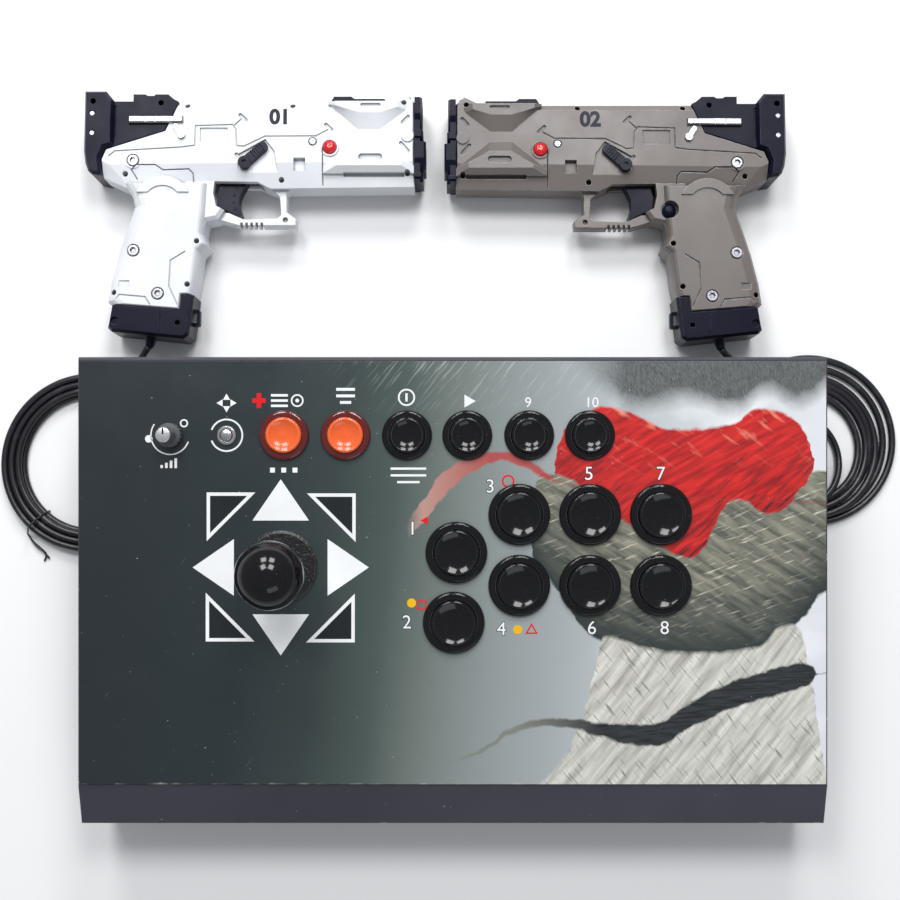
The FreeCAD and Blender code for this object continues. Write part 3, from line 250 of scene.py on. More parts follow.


# %% [markdown]
# Nearly everything here is injection moulded plastic. Its skin is not smooth: the mould is spark
# eroded to a fine grain that scatters the light, and the colour drifts a little. The corners are
# lightened, partly as wear from handling and partly as a painted highlight, and the grooves are
# darkened as painted shade. One function makes all of these, and the colours and the grain are what
# differ from part to part.

# %% Moulded plastics and rubber
def moulded(name, colour, roughness, edge_highlight_colour=None, grain=1.2e-5, grain_scale=2600.0, grime=0.5,
            soft=0.0006, **sockets):
    """Spark eroded grain, drifting colour, worn corners with a painted highlight, painted shade in grooves.
    """
    finish = Finish(name, colour, roughness, **sockets)
    drift = finish.between(finish.noise(22.0), 0.35, 0.65)
    body = finish.mix(drift, tinted(colour, 0.93), tinted(colour, 1.07))
    # lighter edges: a painted highlight, broken up by noise like wear from handling
    lit_and_worn_edges = finish.sum("MULTIPLY", finish.edges(soft), finish.between(finish.noise(240.0), 0.32, 0.6))
    body = finish.mix(lit_and_worn_edges, body, edge_highlight_colour or tinted(colour, 1.5))
    # painted shade: the colour is darkened deep in grooves and corners
    body = finish.mix(finish.sum("MULTIPLY", finish.grooves(0.003), grime), body, tinted(colour, 0.25))
    skin = finish.noise(grain_scale, 2.0)
    gloss = finish.between(finish.noise(60.0), 0.3, 0.7, roughness - 0.05, roughness + 0.06)
    return finish.wear(Base_Color=body, Roughness=gloss, Normal=finish.relief(skin, grain, soft))


def glossy(name, colour, roughness, edge_highlight_colour=None, soft=0.0005, **sockets):
    """Polished plastic: clear reflections, hair scratches, a little dust and a painted highlight on the
    edges.
    """
    finish = Finish(name, colour, roughness, **sockets)
    streaks = finish.add("ShaderNodeMapping", {"Vector": finish.place, "Rotation": (0, 0, 0.6),
                                               "Scale": (1.0, 14.0, 1.0)})
    scratched = finish.between(finish.noise(220.0, 4.0, streaks), 0.62, 0.72)
    dust = finish.between(finish.noise(1500.0, 2.0), 0.72, 0.76)
    worn = finish.sum("MULTIPLY", scratched, finish.between(finish.noise(30.0), 0.45, 0.65))
    gloss = finish.sum("ADD", finish.between(worn, 0.0, 1.0, roughness, roughness + 0.22),
                       finish.sum("MULTIPLY", dust, 0.3))
    body = finish.mix(finish.sum("MULTIPLY", dust, 0.25), colour, (0.35, 0.35, 0.36))
    # painted highlight: the colour is lightened along every edge
    body = finish.mix(finish.edges(soft), body, edge_highlight_colour or tinted(colour, 1.8))
    return finish.wear(Base_Color=body, Roughness=gloss, Normal=finish.relief(worn, 4e-6, soft))


NAVY = (0.004, 0.0045, 0.016)
# The fourth value of each entry colours its edges with a painted highlight, broken up like wear on moulded
# parts. A moulded part's further setting gives the strength of the shade painted in grooves.
FINISHES = {
    "white_shell_plastic": moulded("white_moulded_shell", linear(222, 225, 230), 0.38, linear(244, 246, 250),
                                   grime=0.62),
    "khaki_shell_plastic": moulded("khaki_moulded_shell", linear(108, 101, 98), 0.36, linear(205, 203, 208),
                                   grime=0.8),
    "navy_black_plastic": moulded("navy_black_trim", NAVY, 0.33, linear(84, 84, 118),
                                  Specular_IOR_Level=0.14),
    "grey_knob_plastic": moulded("grey_knob", linear(92, 94, 98), 0.4, linear(170, 172, 178)),
    "black_moulded_plastic": moulded("black_insides", (0.012, 0.012, 0.013), 0.5),
    "black_rubber": moulded("black_feet", (0.016, 0.016, 0.016), 0.75, grain=6e-5, grain_scale=900.0),
    "textured_black_plastic": moulded("coarse_washer", (0.012, 0.012, 0.013), 0.3, linear(150, 150, 155),
                                      grain=5e-4, grain_scale=620.0, grime=0.3),
    "black_gloss_plastic": glossy("black_button_gloss", (0.006, 0.006, 0.007), 0.09, linear(120, 122, 130),
                                  Specular_IOR_Level=0.36),
    "red_clear_plastic": glossy("dark_red_bezel", (0.105, 0.008, 0.009), 0.08, linear(190, 90, 95),
                                Coat_Weight=0.6),
    "orange_plastic": glossy("orange_button_gloss", (0.82, 0.13, 0.03), 0.16, linear(255, 170, 120),
                             Subsurface_Weight=0.2, Subsurface_Scale=0.004),
    "red_gloss_plastic": glossy("red_side_button", (0.62, 0.015, 0.02), 0.14, linear(255, 120, 120)),
}
print(len(FINISHES), "plastics and rubbers")

# %% [markdown]
# The metal on this object is thin plating over steel or die castings. Plating mirrors its
# surroundings, but with a blur that changes along the polishing marks. Long thin noise, squeezed
# along one axis, stands for those marks, and it moves both the blur and the relief.

# %% Metals
def plated(name, colour, roughness, marks=(1.0, 24.0, 24.0), soft=0.0004):
    finish = Finish(name, colour, roughness, Metallic=1.0)
    along = finish.add("ShaderNodeMapping", {"Vector": finish.place, "Scale": marks})
    polish = finish.noise(180.0, 4.0, along)
    dull = finish.between(finish.noise(70.0), 0.45, 0.7)
    body = finish.mix(dull, colour, tinted(colour, 0.72))
    # painted shade: the colour is darkened in grooves and hollows
    body = finish.mix(finish.grooves(0.0015), body, tinted(colour, 0.2))
    gloss = finish.between(polish, 0.3, 0.7, roughness - 0.06, roughness + 0.12)
    return finish.wear(Base_Color=body, Roughness=gloss, Normal=finish.relief(polish, 6e-6, soft))


FINISHES.update({
    "brushed_metal": plated("nickel_button", (0.66, 0.66, 0.68), 0.22),
    "zinc_steel": plated("zinc_plated_steel", (0.55, 0.56, 0.60), 0.3, (24.0, 24.0, 1.0)),
    "socket_metal": plated("socket_nickel", (0.60, 0.60, 0.61), 0.28),
    "bright_plated_metal": plated("bright_plating", (0.42, 0.42, 0.46), 0.3),
})


def powder_coat(name, colour, roughness):
    """Baked powder paint: pebbled skin, chipped to grey metal at folded edges, which get a painted highlight.
    """
    finish = Finish(name, colour, roughness, Specular_IOR_Level=0.3)
    pebbles = finish.noise(1400.0, 2.0)
    drift = finish.between(finish.noise(9.0), 0.35, 0.65)
    body = finish.mix(drift, tinted(colour, 0.9), tinted(colour, 1.1))
    rim = finish.edges(0.0012)
    # painted highlight: the colour is lightened along every folded edge
    body = finish.mix(finish.sum("MULTIPLY", rim, 0.55), body, tinted(colour, 1.9))
    chips = finish.sum("MULTIPLY", rim, finish.between(finish.noise(130.0, 5.0), 0.62, 0.66))
    specks = finish.between(finish.noise(420.0, 2.0), 0.77, 0.79)
    bare = finish.sum("MAXIMUM", chips, finish.sum("MULTIPLY", specks, 0.6))
    body = finish.mix(bare, body, (0.5, 0.5, 0.52))
    gloss = finish.between(finish.noise(30.0), 0.3, 0.7, roughness - 0.05, roughness + 0.08)
    return finish.wear(Base_Color=body, Roughness=gloss, Normal=finish.relief(pebbles, 2e-5, 0.0006))


def solder_mask(name):
    """Green lacquer over copper tracks, with tinned pads."""
    finish = Finish(name, (0.02, 0.14, 0.07), 0.35)
    tracks = finish.add("ShaderNodeTexVoronoi", {"Vector": finish.place, "Scale": 420.0}, out="Distance",
                        distance="CHEBYCHEV")
    body = finish.mix(finish.between(tracks, 0.40, 0.46), (0.02, 0.14, 0.07), (0.05, 0.30, 0.14))
    pads = finish.add("ShaderNodeTexVoronoi", {"Vector": finish.place, "Scale": 230.0}, out="Distance")
    body = finish.mix(finish.between(pads, 0.14, 0.10), body, (0.62, 0.62, 0.60))
    return finish.wear(Base_Color=body, Normal=finish.relief(tracks, 1.5e-5, 0.0003))


FINISHES.update({
    "slate_painted_steel": powder_coat("slate_powder_coat", linear(61, 61, 71), 0.42),
    "black_painted_steel": powder_coat("black_powder_coat", (0.014, 0.014, 0.016), 0.5),
    "circuit_board": solder_mask("green_solder_mask"),
})

# %% [markdown]
# The cable's jacket is soft PVC: nearly black, a little shiny, and very slightly wavy where the
# wires inside press on it. The pattern is read from the tube's own UV map, in which V is the
# length in metres, so it follows the cable round every turn.

# %% Cable jacket
jacket = Finish("black_cable_jacket", (0.010, 0.010, 0.014), 0.34)
along_cable = jacket.add("ShaderNodeUVMap", uv_map="length")
jacket_streaks = jacket.add("ShaderNodeMapping", {"Vector": along_cable, "Scale": (6.0, 40.0, 1.0)})
jacket_wave = jacket.noise(3.0, 3.0, jacket_streaks)
jacket_scuff = jacket.between(jacket.noise(130.0, 4.0), 0.58, 0.7)
jacket.wear(Base_Color=jacket.mix(jacket_scuff, (0.010, 0.010, 0.014), (0.030, 0.030, 0.038)),
            Roughness=jacket.between(jacket_wave, 0.3, 0.7, 0.26, 0.42),
            Normal=jacket.relief(jacket_wave, 4e-5, 0.0002))
FINISHES["cable_jacket"] = jacket.material
print(len(FINISHES), "finishes so far")

# %% [markdown]
# The panel carries a printed film under a clear satin face. A mountain scene stands in for the
# film's own figure: dusk on the left, a pale sky on the right, a red ridge, olive hills, mist, and
# a dark river that thins out to the left. Its large patches of colour keep the figure's places and
# rough outlines, so only what they show is new. The picture is painted in the shader: a curve node
# gives the height of each skyline from the place across the panel, noise frays it like a dry
# brush, and a mask lays one colour over the last.

# %% Brush tools for the panel's picture
PANEL_LEN = 229.0
HALF_W = 200.0
art = Finish("printed_panel_film", (0.3, 0.3, 0.3), 0.3, Coat_Weight=0.25, Coat_Roughness=0.12)
shifted = art.add("ShaderNodeVectorMath", {0: art.place, 1: tuple(PANEL.translation)}, operation="SUBTRACT")
levelled = art.add("ShaderNodeVectorRotate", {"Vector": shifted, "Angle": -PANEL_SLOPE},
                   rotation_type="X_AXIS")
in_mm = art.add("ShaderNodeVectorMath", {0: levelled, "Scale": 1 / MM}, operation="SCALE")


def wandering(reach, scale):
    """Panel places pushed about by noise, as (across, up)."""
    push = art.add("ShaderNodeTexNoise", {"Vector": in_mm, "Scale": scale, "Detail": 4.0}, out="Color")
    push = art.add("ShaderNodeVectorMath", {0: push, 1: (0.5, 0.5, 0.5)}, operation="SUBTRACT")
    push = art.add("ShaderNodeVectorMath", {0: push, "Scale": reach * 2}, operation="SCALE")
    moved = art.add("ShaderNodeVectorMath", {0: in_mm, 1: push}, operation="ADD")
    split = art.add("ShaderNodeSeparateXYZ", {0: moved}).node
    return split.outputs[0], split.outputs[1]


def skyline(across, points):
    """Height in millimetres of a line through the points, at each place across."""
    share = art.between(across, -HALF_W, HALF_W)
    height = art.add("ShaderNodeFloatCurve", {"Value": share})
    curve = height.node.mapping.curves[0]
    for _ in points[2:]:
        curve.points.new(0.5, 0.5)
    for knot, (x, y) in zip(curve.points, points):
        knot.location = ((x + HALF_W) / (2 * HALF_W), y / PANEL_LEN)
        knot.handle_type = "AUTO_CLAMPED"
    height.node.mapping.update()
    return art.sum("MULTIPLY", height, PANEL_LEN)


def under(line, up, soft):
    """1 below the line, fading over a distance."""
    return art.between(art.sum("SUBTRACT", line, up), -soft / 2, soft / 2)


def brushed(scale, turn, thin=7.0):
    """Streaks of a dry brush, from 0 to 1."""
    lie = {"Vector": in_mm, "Rotation": (0, 0, turn), "Scale": (1.0, 1 / thin, 1.0)}
    streaks = art.add("ShaderNodeMapping", lie, vector_type="TEXTURE")
    return art.between(art.noise(scale, 5.0, streaks), 0.3, 0.7)


across, up = wandering(2.2, 0.13)

# %% Sky: dusk to daylight, with a few wisps
along_sky = art.sum("ADD", across, art.sum("MULTIPLY", art.sum("SUBTRACT", up, 115.0), -0.12))
sky_share = art.between(along_sky, -HALF_W, HALF_W)
sky = art.add("ShaderNodeValToRGB", {"Fac": sky_share})
SKY = [(-188, (31, 39, 44)), (-110, (34, 45, 50)), (-68, (48, 60, 60)), (-35, (70, 84, 80)),
       (-5, (112, 122, 118)), (25, (140, 148, 148)), (58, (160, 167, 170)), (110, (196, 202, 205)),
       (190, (222, 225, 230))]
stops = sky.node.color_ramp.elements
for _ in SKY[2:]:
    stops.new(0.5)
for stop, (x, levels) in zip(stops, SKY):
    stop.position = (x + HALF_W) / (2 * HALF_W)
    stop.color = (*linear(*levels), 1.0)
wisps = art.sum("MULTIPLY", art.between(art.noise(0.022, 5.0, in_mm), 0.5, 0.72),
                art.between(across, 60.0, 150.0))
picture = art.mix(wisps, sky, linear(244, 246, 250))
rays = art.sum("MULTIPLY", art.between(brushed(0.05, 0.9, 14.0), 0.62, 0.95),
               art.sum("MULTIPLY", art.between(up, 196.0, 224.0), art.between(across, -70.0, -20.0)))
picture = art.mix(art.sum("MULTIPLY", rays, 0.45), picture, linear(190, 196, 196))

# %% Storm cloud and red ridge
cloud_foot = skyline(across, [(-200, 229), (56, 228), (82, 213), (100, 203), (124, 207), (150, 201),
                              (168, 211), (184, 205), (200, 214)])
storm = art.sum("MULTIPLY", art.sum("SUBTRACT", 1.0, under(cloud_foot, up, 12.0)),
                art.between(across, 62.0, 92.0))
picture = art.mix(storm, picture, art.mix(brushed(0.5, 1.9, 9.0), linear(52, 56, 58), linear(120, 124, 124)))

RIDGE_TOP = [(-200, 40), (49, 60), (54, 166), (60, 190), (70, 199), (82, 202), (100, 197), (117, 190),
             (150, 193), (163, 201), (175, 199), (186, 191), (192, 176), (196, 60), (200, 40)]
RIDGE_FOOT = [(-200, 229), (46, 190), (54, 164), (78, 147), (104, 132), (126, 120), (152, 151), (169, 143),
              (186, 157), (196, 175), (200, 180)]
foot = skyline(across, RIDGE_FOOT)
ridge = art.sum("MULTIPLY", under(skyline(across, RIDGE_TOP), up, 1.6),
                art.sum("SUBTRACT", 1.0, under(foot, up, 1.6)))
flame = art.mix(brushed(0.055, 0.5), linear(150, 16, 22), linear(222, 42, 38))
flame = art.mix(art.sum("MULTIPLY", art.between(brushed(0.06, -0.6, 4.0), 0.66, 0.98),
                        art.between(up, 165.0, 198.0)), flame, linear(236, 138, 114))
shadow = art.sum("MULTIPLY", art.between(brushed(0.05, 0.75, 9.0), 0.5, 0.9),
                 art.between(art.sum("SUBTRACT", up, foot), 34.0, 4.0))
flame = art.mix(shadow, flame, linear(82, 26, 30))
picture = art.mix(ridge, picture, flame)

# %% Olive hills, mist and river
HILL_FOOT = [(-200, 229), (38, 180), (42, 124), (57, 103), (78, 78), (104, 71), (132, 69), (163, 72),
             (185, 88), (198, 103), (200, 104)]
HILL_TOP = [(-200, 60), (36, 110), (41, 149), (50, 166), (54, 166), (78, 149), (104, 134), (126, 122),
            (152, 153), (169, 145), (186, 159), (196, 168), (200, 168)]
hill_foot = skyline(across, HILL_FOOT)
hills = art.sum("MULTIPLY", under(skyline(across, HILL_TOP), up, 1.6),
                art.sum("SUBTRACT", 1.0, under(hill_foot, up, 2.0)))
grass = art.mix(brushed(0.045, -0.55, 6.0), linear(66, 72, 68), linear(150, 148, 132))
grass = art.mix(art.between(brushed(0.08, 0.35, 9.0), 0.7, 1.0), grass, linear(208, 204, 186))
grass = art.mix(art.between(art.sum("SUBTRACT", up, hill_foot), 42.0, 2.0), grass, linear(44, 54, 54))
picture = art.mix(hills, picture, grass)

MIST_TOP = [(-200, 0), (40, 0), (58, 14), (68, 32), (76, 62), (82, 80), (104, 73), (132, 71), (163, 74),
            (180, 86), (190, 60), (197, 20), (200, 0)]
mist = under(skyline(across, MIST_TOP), up, 2.5)
haze = art.mix(brushed(0.035, 0.9, 8.0), linear(158, 156, 146), linear(232, 230, 222))
haze = art.mix(art.between(brushed(0.07, -0.9, 12.0), 0.72, 0.96), haze, linear(116, 118, 110))
picture = art.mix(art.sum("MULTIPLY", mist, 0.92), picture, haze)

RIVER = [(-200, 0), (-12, 10), (15, 19), (36, 31), (57, 34), (78, 30), (105, 27), (126, 37), (150, 49),
         (175, 56), (194, 60), (200, 61)]
BREADTH = [(-200, 0), (-8, 0.4), (20, 2.0), (57, 4.0), (78, 6.0), (105, 10.0), (140, 11.5), (175, 11.5),
           (191, 9.0), (195, 0), (200, 0)]
bank = art.sum("ABSOLUTE", art.sum("SUBTRACT", up, skyline(across, RIVER)))
river = art.sum("MULTIPLY", under(art.sum("MULTIPLY", skyline(across, BREADTH), 0.6), bank, 1.4),
                art.between(across, -8.0, 10.0))
water = art.mix(brushed(0.08, 0.05, 11.0), linear(20, 22, 27), linear(56, 60, 64))
water = art.mix(art.between(across, 78.0, 34.0), water, linear(128, 130, 122))
picture = art.mix(river, picture, water)

# %% A pennant of evening cloud, the clear face and its scratches
PENNANT = [(-200, 120), (-40, 128), (-16, 146), (-6, 160), (8, 170), (26, 176), (45, 168), (56, 162),
           (200, 150)]
PENNANT_HALF = [(-200, 0), (-30, 0), (-24, 4.2), (-8, 6.2), (8, 4.0), (26, 2.4), (48, 2.2), (58, 0), (200, 0)]
drift_up = art.sum("ABSOLUTE", art.sum("SUBTRACT", up, skyline(across, PENNANT)))
pennant = art.sum("MULTIPLY", under(skyline(across, PENNANT_HALF), drift_up, 1.6),
                  art.between(across, -25.0, -16.0))
glow = art.mix(art.between(across, -22.0, 20.0), linear(196, 158, 146), linear(176, 52, 52))
picture = art.mix(art.sum("MULTIPLY", pennant, 0.85), picture, glow)

scratch_lie = {"Vector": in_mm, "Rotation": (0, 0, 0.95), "Scale": (1.0, 1 / 22, 1.0)}
scratch_lines = art.add("ShaderNodeMapping", scratch_lie, vector_type="TEXTURE")
scratches = art.sum("MULTIPLY", art.between(art.noise(0.05, 3.0, scratch_lines), 0.735, 0.76),
                    art.between(art.noise(0.012, 2.0, in_mm), 0.5, 0.6))
specks = art.between(art.noise(0.62, 2.0, in_mm), 0.77, 0.79)
marked = art.sum("MAXIMUM", art.sum("MULTIPLY", scratches, 0.35), art.sum("MULTIPLY", specks, 0.5))
picture = art.mix(marked, picture, linear(214, 218, 222))
satin = art.between(art.noise(0.03, 4.0, in_mm), 0.3, 0.7, 0.27, 0.36)
art.wear(Base_Color=picture, Roughness=art.sum("ADD", satin, art.sum("MULTIPLY", marked, 0.3)),
         Normal=art.relief(art.noise(1.6, 2.0, in_mm), 6e-6, 0.0004))
FINISHES["printed_overlay"] = art.material
print(len(art.tree.nodes), "nodes in the panel's picture")

# %% [markdown]
# Every node of the CAD model came in with a plain material named after its slot in the record.
# The table of finishes has one entry per slot, so one loop dresses all sixty of them.

# %% Dress the CAD model
for name, part in nodes.items():
    slot_name = part.material_slots[0].material.name.split(".")[0]
    part.material_slots[0].material = FINISHES[slot_name]
print(len(nodes), "CAD nodes dressed")

# %% [markdown]
# Each gun's cable is one length of 4 mm black lead. It leaves the grip, drops to the table, runs
# into a coil that shows beside the desk, and goes on under the desk into a grommet in its floor.
# A cable is a smooth line, so each is a single NURBS curve: the points of the free stretches are
# listed one by one, and the turns of the coil are worked out by a loop. The tube itself is swept
# along that curve as a mesh.

# %% Free stretches of the two cables, in desk millimetres
CABLE_D = 4.0
LEFT_LEAD = [(-177.0, 243.0, 15.25), (-179.5, 240.2, 14.2), (-183.0, 235.0, 12.2), (-184.9, 228.5, 10.7),
             (-184.4, 221.0, 9.8)]
LEFT_TAIL = [(-160.2, 166.5, 2.1), (-161.0, 150.0, 2.1), (-155.0, 137.0, 2.1), (-141.5, 130.0, 2.1),
             (-122.0, 126.0, 8.0), (-108.0, 124.6, 23.2)]
RIGHT_LEAD = [(156.7, 241.6, 15.25), (158.7, 238.9, 14.3), (163.5, 235.6, 12.0), (168.6, 228.2, 9.3),
              (168.5, 217.5, 5.0), (163.0, 205.5, 2.6)]
RIGHT_TAIL = [(178.6, 143.8, 2.1), (178.5, 129.5, 2.1), (168.0, 119.8, 2.1),
              (148.8, 115.0, 8.0), (134.6, 112.6, 23.2)]

# %% [markdown]
# The left coil is a tight bundle: six strands lie side by side in two layers, like the turns of
# a hank that was wound over a hand. A turn keeps its own lane round the side that shows and
# moves into the next lane under the desk, where the lead also comes in over the top.

# %% Turns of the left coil
POINTS_PER_TURN = 24
LEFT_CENTRE = (-212.3, 176.0)
LOW, MIDDLE, HIGH = 2.1, 5.7, 9.3        # heights of the strands' layers
LEFT_LANES = [(49.0, HIGH), (51.0, MIDDLE), (46.9, MIDDLE), (42.8, MIDDLE), (40.8, LOW), (44.9, LOW),
              (49.0, LOW), (53.0, LOW)]
LEFT_CHANGES = [(-30, -60), (0, -30), (15, -15), (30, 0), (45, 15), (60, 30), (75, 45)]


def smooth(share):
    share = min(1.0, max(0.0, share))
    return share * share * (3 - 2 * share)


def left_turns():
    """Clockwise from 52 degrees, one lane after the other, and out at -10 degrees."""
    points = []
    start, end = 52.0, -360.0 * (len(LEFT_LANES) - 2) - 2.0
    count = round((start - end) / 360 * POINTS_PER_TURN)
    for i in range(count + 1):
        angle = start + (end - start) * i / count
        radius, height = LEFT_LANES[0]
        for turn, (leave, arrive) in enumerate(LEFT_CHANGES):
            share = smooth((leave - 360 * turn - angle) / (leave - arrive))
            radius += (LEFT_LANES[turn + 1][0] - LEFT_LANES[turn][0]) * share
            height += (LEFT_LANES[turn + 1][1] - LEFT_LANES[turn][1]) * share
        a = math.radians(angle)
        points.append((LEFT_CENTRE[0] + radius * math.cos(a), LEFT_CENTRE[1] + radius * math.sin(a), height))
    return points


print(len(left_turns()), "points in the left coil")

# %% [markdown]
# The right coil has come loose. Its seven turns are gathered at one place under the desk and fan
# out from there, each a circle of its own size. A smaller circle that touches a larger one from
# inside shares its line at that place, so the size can change there with no kink.

# %% Turns of the right coil
RIGHT_CENTRE = (211.0, 189.4)
GATHER = 228.0            # degrees: the side where the turns lie together
RIGHT_OUTER = 49.0        # radius of the outermost turn
# each turn: radius, inset at the gathered side, height there
RIGHT_LOOPS = [(49.0, 0.0, LOW), (44.0, 4.1, LOW), (42.0, 2.0, MIDDLE), (37.5, 8.2, LOW), (37.0, 6.1, MIDDLE),
               (32.5, 10.2, MIDDLE), (28.0, 4.1, HIGH)]


def right_turns():
    """Anticlockwise from 186 degrees; each loop is left for the next at the gathered side."""
    points = []
    start = 186.0
    end = GATHER + 360.0 * len(RIGHT_LOOPS) - 8.0
    count = round((end - start) / 360 * POINTS_PER_TURN)
    for i in range(count + 1):
        angle = start + (end - start) * i / count
        radius, inset, height = RIGHT_LOOPS[0]
        for turn in range(1, len(RIGHT_LOOPS)):
            share = smooth((angle - (GATHER + 360 * turn - 12)) / 50.0)
            for_now, after = RIGHT_LOOPS[turn - 1], RIGHT_LOOPS[turn]
            radius += (after[0] - for_now[0]) * share
            inset += (after[1] - for_now[1]) * share
            height += (after[2] - for_now[2]) * share
        share = smooth((angle - end + 60) / 60.0)
        inset += (0.0 - RIGHT_LOOPS[-1][1]) * share
        height += (LOW - RIGHT_LOOPS[-1][2]) * share
        near = 0.5 + 0.5 * math.cos(math.radians(angle - GATHER))
        height = LOW + (height - LOW) * smooth(near * 1.35)
        a, g = math.radians(angle), math.radians(GATHER)
        offset = RIGHT_OUTER - inset - radius
        points.append((RIGHT_CENTRE[0] + offset * math.cos(g) + radius * math.cos(a),
                       RIGHT_CENTRE[1] + offset * math.sin(g) + radius * math.sin(a), height))
    return points


print(len(right_turns()), "points in the right coil")

# %% [markdown]
# A NURBS curve with no bevel gives back its own line as a mesh of points. A ring of twelve
# corners is carried along that line without twisting, which makes the tube and, at the same
# time, tells how long the cable is.

# %% Sweep a tube along a smooth curve
RING = 12


def smooth_line(name, points):
    """The points of a NURBS curve through the route, in metres."""
    curve = bpy.data.curves.new(name, "CURVE")
    curve.dimensions = "3D"
    curve.resolution_u = 5
    spline = curve.splines.new("NURBS")
    spline.points.add(len(points) - 1)
    for point, place in zip(spline.points, points):
        point.co = (*(DESK @ Vector(place)), 1.0)
    spline.order_u = 3
    spline.use_endpoint_u = True
    holder = bpy.data.objects.new(name, curve)
    bpy.context.scene.collection.objects.link(holder)
    bpy.context.view_layer.update()
    evaluated = holder.evaluated_get(bpy.context.evaluated_depsgraph_get())
    mesh = bpy.data.meshes.new_from_object(evaluated)
    line = [vertex.co.copy() for vertex in mesh.vertices]
    bpy.data.objects.remove(holder)
    bpy.data.meshes.remove(mesh)
    return line


def swept_tube(name, line, radius, ring=RING):
    """A closed tube round a line, as an object at the origin, with its length along V of its UVs."""
    built = bmesh.new()
    uv = built.loops.layers.uv.new("length")
    rings, travelled = [], [0.0]
    along = (line[1] - line[0]).normalized()
    side = along.orthogonal().normalized()
    for i, point in enumerate(line):
        ahead = line[min(i + 1, len(line) - 1)] - line[max(i - 1, 0)]
        turn = along.rotation_difference(ahead.normalized())
        side = turn @ side
        along = ahead.normalized()
        up = along.cross(side)
        rings.append([built.verts.new(point + (side * math.cos(a) + up * math.sin(a)) * radius)
                      for a in (2 * math.pi * k / ring for k in range(ring))])
        if i:
            travelled.append(travelled[-1] + (point - line[i - 1]).length)
    for i, (near, far) in enumerate(zip(rings, rings[1:])):
        for k in range(ring):
            face = built.faces.new((near[k], near[(k + 1) % ring], far[(k + 1) % ring], far[k]))
            face.smooth = True
            for loop, (u, v) in zip(face.loops, ((k, i), (k + 1, i), (k + 1, i + 1), (k, i + 1))):
                loop[uv].uv = (u / ring, travelled[v])
    built.faces.new(list(reversed(rings[0])))
    built.faces.new(rings[-1])
    bmesh.ops.recalc_face_normals(built, faces=built.faces)
    mesh = bpy.data.meshes.new(name)
    built.to_mesh(mesh)
    built.free()
    tube = bpy.data.objects.new(name, mesh)
    bpy.context.scene.collection.objects.link(tube)
    return tube, travelled[-1]


# %% Make both cables
CABLES = {
    "left": (LEFT_LEAD + left_turns() + LEFT_TAIL, (-184.9, 228.5, 10.7), (-177.0, 246.0, 15.6)),
    "right": (RIGHT_LEAD + right_turns() + RIGHT_TAIL, (168.6, 228.2, 9.3), (156.6, 244.6, 15.6)),
}
for side, (route, rest, gun_end) in CABLES.items():
    name = f"gun_cable_{side}"
    line = smooth_line(name, route)
    cable, length = swept_tube(name, line, CABLE_D / 2 * MM)
    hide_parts(f"gun_cable_{side}_run", f"gun_cable_{side}_coil")
    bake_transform(cable)
    cable.data.materials.clear()
    cable.data.materials.append(FINISHES["cable_jacket"])
    print(f"{name}: {length:.3f} m, {len(line)} points, {len(cable.data.polygons)} faces")

# %% [markdown]
# The marks on the panel are screen printed: a film of ink with crisp edges, a few hundredths of a
# millimetre thick. A flat curve with a little extrusion is such a film, and curves cut their own
# holes where one outline lies inside another. It is turned into a mesh first and then laid on the
# slope of the panel, so its object stays at the origin.

# %% Inks and a helper that prints flat outlines
def ink(name, colour):
    # moulded gives the ink a little painted shade in hollows and a painted highlight on its edges
    return moulded(name, colour, 0.34, grain=4e-6, grain_scale=1800.0, grime=0.1, soft=0.0001,
                   Specular_IOR_Level=0.15)


WHITE_INK = ink("white_ink", linear(238, 240, 242))
GREY_INK = ink("dark_grey_ink", linear(38, 42, 44))
RED_INK = ink("red_ink", linear(222, 34, 38))
YELLOW_INK = ink("yellow_ink", linear(240, 186, 30))
NAVY_INK = ink("navy_ink", linear(24, 26, 46))
INK = 0.035               # half thickness of a film of ink, in millimetres


def meshed(name, data, place, finish, body):
    """Turn a curve or text into a closed mesh, put it in its place and fix it to a body."""
    holder = bpy.data.objects.new(name + "_outline", data)
    bpy.context.scene.collection.objects.link(holder)
    bpy.context.view_layer.update()
    mesh = bpy.data.meshes.new_from_object(holder.evaluated_get(bpy.context.evaluated_depsgraph_get()))
    bpy.data.objects.remove(holder)
    shape = bmesh.new()
    shape.from_mesh(mesh)
    bmesh.ops.remove_doubles(shape, verts=shape.verts, dist=0.001)
    bmesh.ops.recalc_face_normals(shape, faces=shape.faces)
    shape.transform(place)
    shape.to_mesh(mesh)
    shape.free()
    mesh.materials.clear()
    mesh.materials.append(finish)
    piece = bpy.data.objects.new(name, mesh)
    bpy.context.scene.collection.objects.link(piece)
    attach(piece, body)
    return piece


def printed(name, outlines, finish, layer=0, place=PANEL, face=SKIN, body="desk"):
    """Ink inside closed outlines, given in millimetres; a higher layer lies on a lower one."""
    curve = bpy.data.curves.new(name, "CURVE")
    curve.dimensions = "2D"
    curve.fill_mode = "BOTH"
    curve.extrude = INK
    for outline in outlines:
        spline = curve.splines.new("POLY")
        spline.points.add(len(outline) - 1)
        for point, (x, y) in zip(spline.points, outline):
            point.co = (x, y, 0.0, 1.0)
        spline.use_cyclic_u = True
    return meshed(name, curve, place @ Matrix.Translation((0, 0, face + INK * (0.7 + layer))), finish, body)


def numeral(name, text, height, finish, place, body, swell=0.0, layer=0):
    letters = bpy.data.curves.new(name, "FONT")
    letters.body = text
    letters.size = height / 0.69
    letters.align_x = "CENTER"
    letters.align_y = "CENTER"
    letters.extrude = INK
    letters.offset = swell
    return meshed(name, letters, place @ Matrix.Translation((0, 0, INK * (0.7 + layer))), finish, body)


